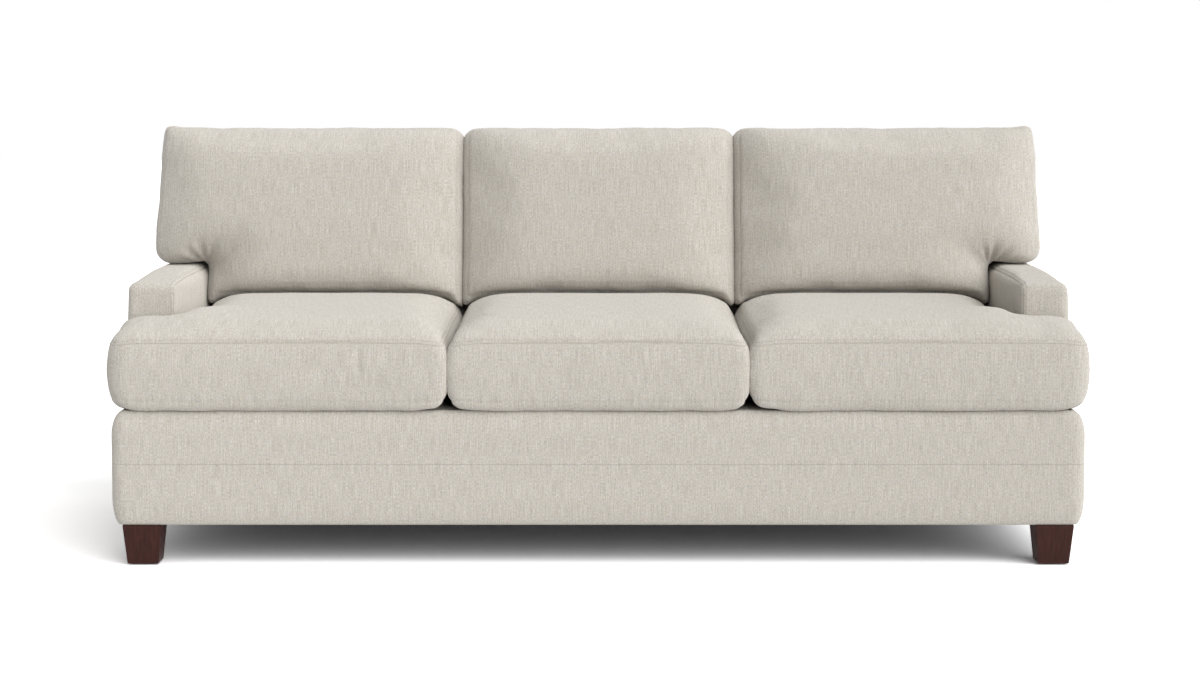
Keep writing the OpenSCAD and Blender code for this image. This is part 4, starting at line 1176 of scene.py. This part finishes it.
def stuff(piece, seams, pressure, cap):
    """Simulates the filling of a sewn cover, then refines the cloth."""
    signed, _ = mark_seams(piece, seams)
    inflate(piece, pressure, cap, shrink=-0.02, pins=np.exp(-(signed / 0.006) ** 2))
    subdivided(piece)


def make_seat_cushion(word, seed):
    """A boxed seat cushion; the outer ones have an ear in front of the arm."""
    side = SIDES[word]
    rear, ear_rear = INSIDE_Y - CLEAR, ARM_FRONT - 0.0005
    if side == 0:
        corners = [(-GAP_X, SEAT_FRONT), (GAP_X, SEAT_FRONT), (GAP_X, rear), (-GAP_X, rear)]
        radii, sharp = [0.027, 0.027, REAR_R, REAR_R], corners[:2]
        hub = np.array([0, (SEAT_FRONT + rear) / 2])
    else:
        corners = [(-EAR_X, SEAT_FRONT), (-INNER_X, SEAT_FRONT), (-INNER_X, rear), (-ARM_SIDE, rear),
                   (-ARM_SIDE, ear_rear), (-EAR_X, ear_rear)]
        radii = [0.050, 0.027, REAR_R, REAR_R, 0.010, 0.024]
        hub = np.array([-(ARM_SIDE + INNER_X) / 2, (SEAT_FRONT + ear_rear) / 2])
        corners, radii, hub = turned_over(side, corners, radii, hub)
        sharp = [c for c in corners if c[1] == SEAT_FRONT]
    loop = rounded_loop(corners, radii, OUTLINE_STEP)
    held = flanks(loop, loop[:, 1] > ear_rear) | (loop[:, 1] > rear - 0.012)
    pressed = softened(held.astype(float))
    corner = near_corners(loop, sharp)
    foot = corner * np.where(np.abs(loop[:, 0]) > ARM_IN, 1.0, 0.3)
    form = seat_form(loop, hub, seat_panels(side), EASE, pressed, corner, foot)
    piece = make_piece(word + "_seat", *form, STITCHED_LINEN)
    faces_outward(piece)
    remeshed(piece, COVER_MESH, 1)
    seams = seat_seams(loop, corner, foot)
    stuff(piece, seams, *SEAT_FILL)
    points, normals = points_of(piece), normals_of(piece)
    slack = 0.0014 * ripple(points, 0.14, seed) + 0.0007 * ripple(points, 0.05, seed + 1)
    if side < 0:
        x, z = points[:, 0] - CREASE_AT[0], points[:, 2] - CREASE_AT[1]
        front = points[:, 1] < SEAT_FRONT + 0.02
        slack -= front * CREASE_DEPTH * np.exp(-(x / 0.008) ** 2 - (z / 0.030) ** 4)
    set_points(piece, points + normals * slack[:, None])
    signed, along = mark_seams(piece, seams)
    press_seams(piece, signed, along, *SEAT_PULL, seed)
    # Only the top seam keeps the linen's painted crease shade; the foot seam keeps just its pressed dip.
    mark_seams(piece, seams[:1])

    def under(p):
        deep, long = SEAT_HANG
        return DECK_Z + CLEAR - deep * np.clip((FRONT_Y + long - p[:, 1]) / long, 0, 1)

    def outer(p):
        return np.where(p[:, 1] > ear_rear, side * ARM_SIDE, side * (EAR_X + 0.006))

    limits = [(2, 1, under), (1, -1, rear), (1, 1, cad_box[0].y - 0.006)]
    keep_within(piece, limits + side_limits(side, outer))
    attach(piece, word + "_seat")
    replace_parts(piece, word + "_seat_cushion", word + "_seat_core")
    row = np.array(seams[0][0]) - (0, 0, STITCH_OFFSET)
    sew(word + "_seat_stitches", word + "_seat", [row], piece, TOPSTITCH, THREAD)
    return piece


EAR_V = ARM_REAR_Z + 0.0005 - CUSHION_Z
SEAM_BACK, SEAM_FRONT = BACK_UNDER[-1][1], BACK_T - 0.050


def settle(x, v, depth, side):
    """How far the underside of a back cushion sinks on to the crown of its seat."""
    z = CUSHION_Z - math.tan(RAKE) * np.maximum(0, BACK_T - depth)
    y = inside_at(z) - CLEAR - depth
    top = DECK_Z + seat_side(y) + seat_rise(x, y, seat_panels(side))
    return np.maximum(0, z + 0.004 - top) * np.maximum(0, 1 - np.maximum(v, 0) / (EAR_V * 1.6)) ** 1.3


def back_place(face, depth, side):
    """Points of a back cushion, from its face outline and how far they stand out of the inside back."""
    x, v = face[:, 0], face[:, 1]
    tilt = np.where(v <= EAR_V, 1 - np.maximum(v, 0) / EAR_V, np.minimum(1, (v - EAR_V) / (3 * EAR_V)))
    z = CUSHION_Z + v - tilt * math.tan(RAKE) * np.maximum(0, BACK_T - depth)
    inside = np.clip((ARM_IN + 0.02 - np.abs(x)) / 0.03, 0, 1)
    z -= settle(x, v, depth, side) * inside
    return np.column_stack([x, inside_at(z) - CLEAR - depth, z])


def back_rise(x, v, panels):
    """How far the front panel stands over its sewn edge: a wide soft roll, then the crown."""
    x0, x1 = panels[-1][:2]
    centre = (EAR_V + BACK_H) / 2
    dome = hump((x - (x0 + x1) / 2) * 2 / (x1 - x0), 2.2) * hump((v - centre) / centre, 3.5)
    return BACK_PUFF[0] * rolled_over(x, v, panels, *BACK_PUFF[1:]) + BACK_CROWN * dome


def back_form(loop, hub, place, panels, ease, pressed, corner):
    """Rings from the flat back, round the boxed side, to the crowned front."""
    into = inward(loop)
    pinch = BACK_PINCH * corner
    rings = []

    def ring(at, depth):
        rings.append(place(at, np.broadcast_to(depth, (len(at),))))

    for share in (0.3, 0.65, 0.9):
        ring(hub + (loop + into * 0.04 - hub) * share, ease)
    for d, depth in BACK_UNDER:
        ring(loop + into * (d + ease), ease + depth)
    for d, share in BACK_BOXING:
        bulge = BACK_BULGE * pressed * math.sin(math.pi * share)
        depth = SEAM_BACK + (SEAM_FRONT - ease - pinch - SEAM_BACK) * share
        ring(loop + into * (d + ease - bulge)[:, None], depth)
    for d in (0.016, 0.026, 0.040, 0.056):
        at = loop + into * (d + ease)
        ring(at, SEAM_FRONT - ease + back_rise(*at.T, panels) - pinch * (0.07 - d) / 0.061)
    for share in CROWN_SHARES:
        at = hub + (loop + into * 0.056 - hub) * share
        ring(at, SEAM_FRONT - ease + back_rise(*at.T, panels))
    return loft(rings)


def back_seams(loop, place, corner):
    """The sewn lines round the front and the back of a back cushion's boxing, with the way to it."""
    into = inward(loop)
    lines = []
    fronts, backs = SEAM_FRONT - BACK_PINCH * corner, np.full(len(loop), SEAM_BACK)
    for d, depth, way in ((BACK_BOXING[-1][0], fronts, 1), (BACK_UNDER[-1][0], backs, -1)):
        path = place(loop + into * d, depth)
        lines.append((list(path) + [path[0]], (0, way, 0)))
    return lines


def gather_notch(piece, side, place):
    """Folds that fan out of the inner corner of the ear, where the cover is pulled over the arm."""
    points = points_of(piece)
    hub = place(np.array([[side * ARM_IN, EAR_V]]), np.array([SEAM_FRONT]))[0]
    out, up = side * (points[:, 0] - hub[0]), points[:, 2] - hub[2]
    reach, turn = np.hypot(out, up), np.degrees(np.arctan2(up, out))
    depth = inside_at(points[:, 2]) - points[:, 1]
    front = np.clip((depth - SEAM_BACK) / (BACK_T - SEAM_BACK), 0, 1)
    hollow = sum(deep * np.exp(-(reach / wide) ** 2) for deep, wide in NOTCH_HOLLOWS)
    beside = np.clip(1 + out / 0.02, 0, 1) * np.clip(1.1 - out / 0.15, 0, 1)
    hollow += EAR_TUCK[0] * beside * np.exp(-(np.maximum(0, up) / EAR_TUCK[1]) ** 2)
    fan = np.clip((turn + 10) / 30, 0, 1) * np.clip((140 - turn) / 30, 0, 1)
    folds = np.cos(np.radians(turn * FOLD_COUNT + 30 * np.sin(np.radians(turn * 3))))
    high, away, wide = NOTCH_FOLDS
    folds *= high * np.exp(-((reach - away) / wide) ** 2) * fan
    points[:, 1] += front * (hollow - folds)
    set_points(piece, points)


def make_back_cushion(word, seats, seed):
    """A boxed back cushion; the outer ones have an ear over the arm."""
    side = SIDES[word]
    low_out, top_out = HALF_W + EAR_SWELL + 0.006, HALF_W - 0.001
    if side == 0:
        corners = [(-GAP_X, 0), (GAP_X, 0), (GAP_X, BACK_H), (-GAP_X, BACK_H)]
        radii, sharp = [REAR_R, REAR_R, 0.034, 0.034], corners[2:]
        hub = np.array([0, BACK_H / 2])
    else:
        corners = [(-ARM_SIDE, 0), (-INNER_X, 0), (-INNER_X, BACK_H), (-top_out, BACK_H),
                   (-low_out, EAR_V), (-ARM_SIDE, EAR_V)]
        radii = [REAR_R, REAR_R, 0.034, 0.016, 0.042, 0.020]
        hub = np.array([-(ARM_SIDE + INNER_X) / 2, (EAR_V + BACK_H) / 2])
        corners, radii, hub = turned_over(side, corners, radii, hub)
        sharp = [c for c in corners if c[1] > 0 and c != (side * ARM_SIDE, EAR_V)]
    loop = rounded_loop(corners, radii, OUTLINE_STEP)
    pressed = softened(flanks(loop, loop[:, 1] < EAR_V).astype(float))
    corner = near_corners(loop, sharp)

    def place(face, depth):
        return back_place(face, depth, side)

    form = back_form(loop, hub, place, back_panels(side), EASE, pressed, corner)
    piece = make_piece(word + "_back", *form, BACK_LINEN_SHADED_SEAMS)
    faces_outward(piece)
    remeshed(piece, COVER_MESH, 1)
    seams = back_seams(loop, place, corner)
    stuff(piece, seams, *BACK_FILL)
    points, normals = points_of(piece), normals_of(piece)
    slack = 0.0018 * ripple(points, 0.15, seed) + 0.0009 * ripple(points, 0.055, seed + 1)
    slack += 0.0022 * ripple(points, 0.11, seed + 2) * np.clip((points[:, 2] - 0.93) / 0.03, 0, 1)
    points += normals * slack[:, None]
    if side:
        gap = np.abs(side * points[:, 0] - (top_out - 0.022)) / 0.022
        points[:, 2] += 0.006 * np.exp(-gap ** 2) * np.clip((points[:, 2] - 0.90) / 0.06, 0, 1)
    set_points(piece, points)
    if side:
        gather_notch(piece, side, place)
    # The marked seams also carry the linen's strong painted shade, which stands in for the shade in the
    # cracks between the cushions.
    signed, along = mark_seams(piece, seams)
    press_seams(piece, signed, along, *BACK_PULL, seed)
    points = points_of(piece)
    if side:
        clear_arm(points, side)
    rest_on(points, seats)
    set_points(piece, points)
    limits = [(1, -1, lambda p: inside_at(p[:, 2]) - CLEAR)]
    keep_within(piece, limits + side_limits(side, side * (HALF_W + EAR_SWELL + 0.008)))
    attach(piece, word + "_back")
    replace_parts(piece, word + "_back_cushion", word + "_back_core")


def clear_arm(points, side):
    """Moves whatever dips into the arm up to its top, or in to its inner face if that is nearer."""
    over = side * points[:, 0] - ARM_SIDE
    floor = ARM_REAR_Z + 0.0005 + NOTCH_LIFT * np.exp(-(over / 0.055) ** 2)
    low = (over > 0) & (points[:, 2] < floor)
    nearer_top = floor - points[:, 2] < over
    points[low & nearer_top, 2] = floor[low & nearer_top]
    points[low & ~nearer_top, 0] = side * ARM_SIDE


def rest_on(points, seats):
    """Lifts whatever dips into a seat cushion to just above it."""
    for i in np.nonzero(points[:, 2] < CUSHION_Z + 0.05)[0]:
        x, y, z = points[i]
        for tree in seats:
            hit = tree.ray_cast(Vector((x, y, 0.8)), Vector((0, 0, -1)))[0]
            if hit is not None and z < hit.z + 0.0006:
                points[i, 2] = hit.z + 0.0006


# Floor, light and camera

def seen_rays(tree):
    """1 for the rays that show a surface to the camera, directly or in a gloss or a glass."""
    rays = add_node(tree, "ShaderNodeLightPath", {}, {}).outputs
    seen = rays["Is Camera Ray"]
    for kind in ("Is Glossy Ray", "Is Transmission Ray"):
        larger = {"operation": "MAXIMUM"}
        seen = add_node(tree, "ShaderNodeMath", {0: seen, 1: rays[kind]}, larger).outputs[0]
    return seen


def make_stage():
    """A pale floor in a white room, lit by one broad window."""
    s = Shader("pale studio floor")
    seen = seen_rays(s.tree)
    matt = s.add("BsdfDiffuse", {"Color": s.mix(seen, (0.80, 0.80, 0.80, 1), (FLOOR_LIFT,) * 3 + (1,))})
    s.tree.links.new(matt.outputs[0], s.tree.nodes["Material Output"].inputs["Surface"])
    s.tree.nodes.remove(s.surface)
    corners = [(x * FLOOR_HALF, y * FLOOR_HALF, 0) for x, y in ((-1, -1), (1, -1), (1, 1), (-1, 1))]
    floor = make_piece("studio_floor", corners, [(0, 1, 2, 3)], s.material)

    world = bpy.data.worlds.new("white room")
    bpy.context.scene.world = world
    world.use_nodes = True
    tree = world.node_tree
    back = tree.nodes["Background"]
    levels = {0: seen_rays(tree), 3: ROOM_STRENGTH, 4: 1.0}
    strength = add_node(tree, "ShaderNodeMapRange", levels, {}).outputs[0]
    tree.links.new(strength, back.inputs["Strength"])
    back.inputs["Color"].default_value = (1, 1, 1, 1)

    lamp = bpy.data.lights.new("window light", "SUN")
    lamp.energy, lamp.angle = KEY_STRENGTH, KEY_WIDTH
    holder = add_object("window light", lamp)
    holder.rotation_euler = Vector(KEY_FROM).to_track_quat("Z", "Y").to_euler()


def make_camera():
    """Stands where the photograph was taken from, a little above the seat and square to the front."""
    camera = bpy.data.cameras.new("camera")
    camera.sensor_width, camera.lens = 36, CAMERA_LENS
    camera.clip_end = 100
    holder = add_object("camera", camera)
    holder.location = CAMERA_AT
    holder.rotation_euler = (math.pi / 2 - CAMERA_PITCH, 0, 0)
    bpy.context.scene.camera = holder


make_camera()
make_stage()
bpy.context.scene.view_settings.view_transform = "Standard"
finish_frame()
make_legs()
make_base()
make_arm(-1, "left")
make_arm(1, "right")
make_back_cover()
make_outside_back()
make_deck()
make_dust_cover()
seats = []
for word, seed in (("left", 51), ("centre", 57), ("right", 63)):
    seats.append(tree_of(make_seat_cushion(word, seed)))
for word, seed in (("left", 71), ("centre", 77), ("right", 83)):
    make_back_cushion(word, seats, seed)
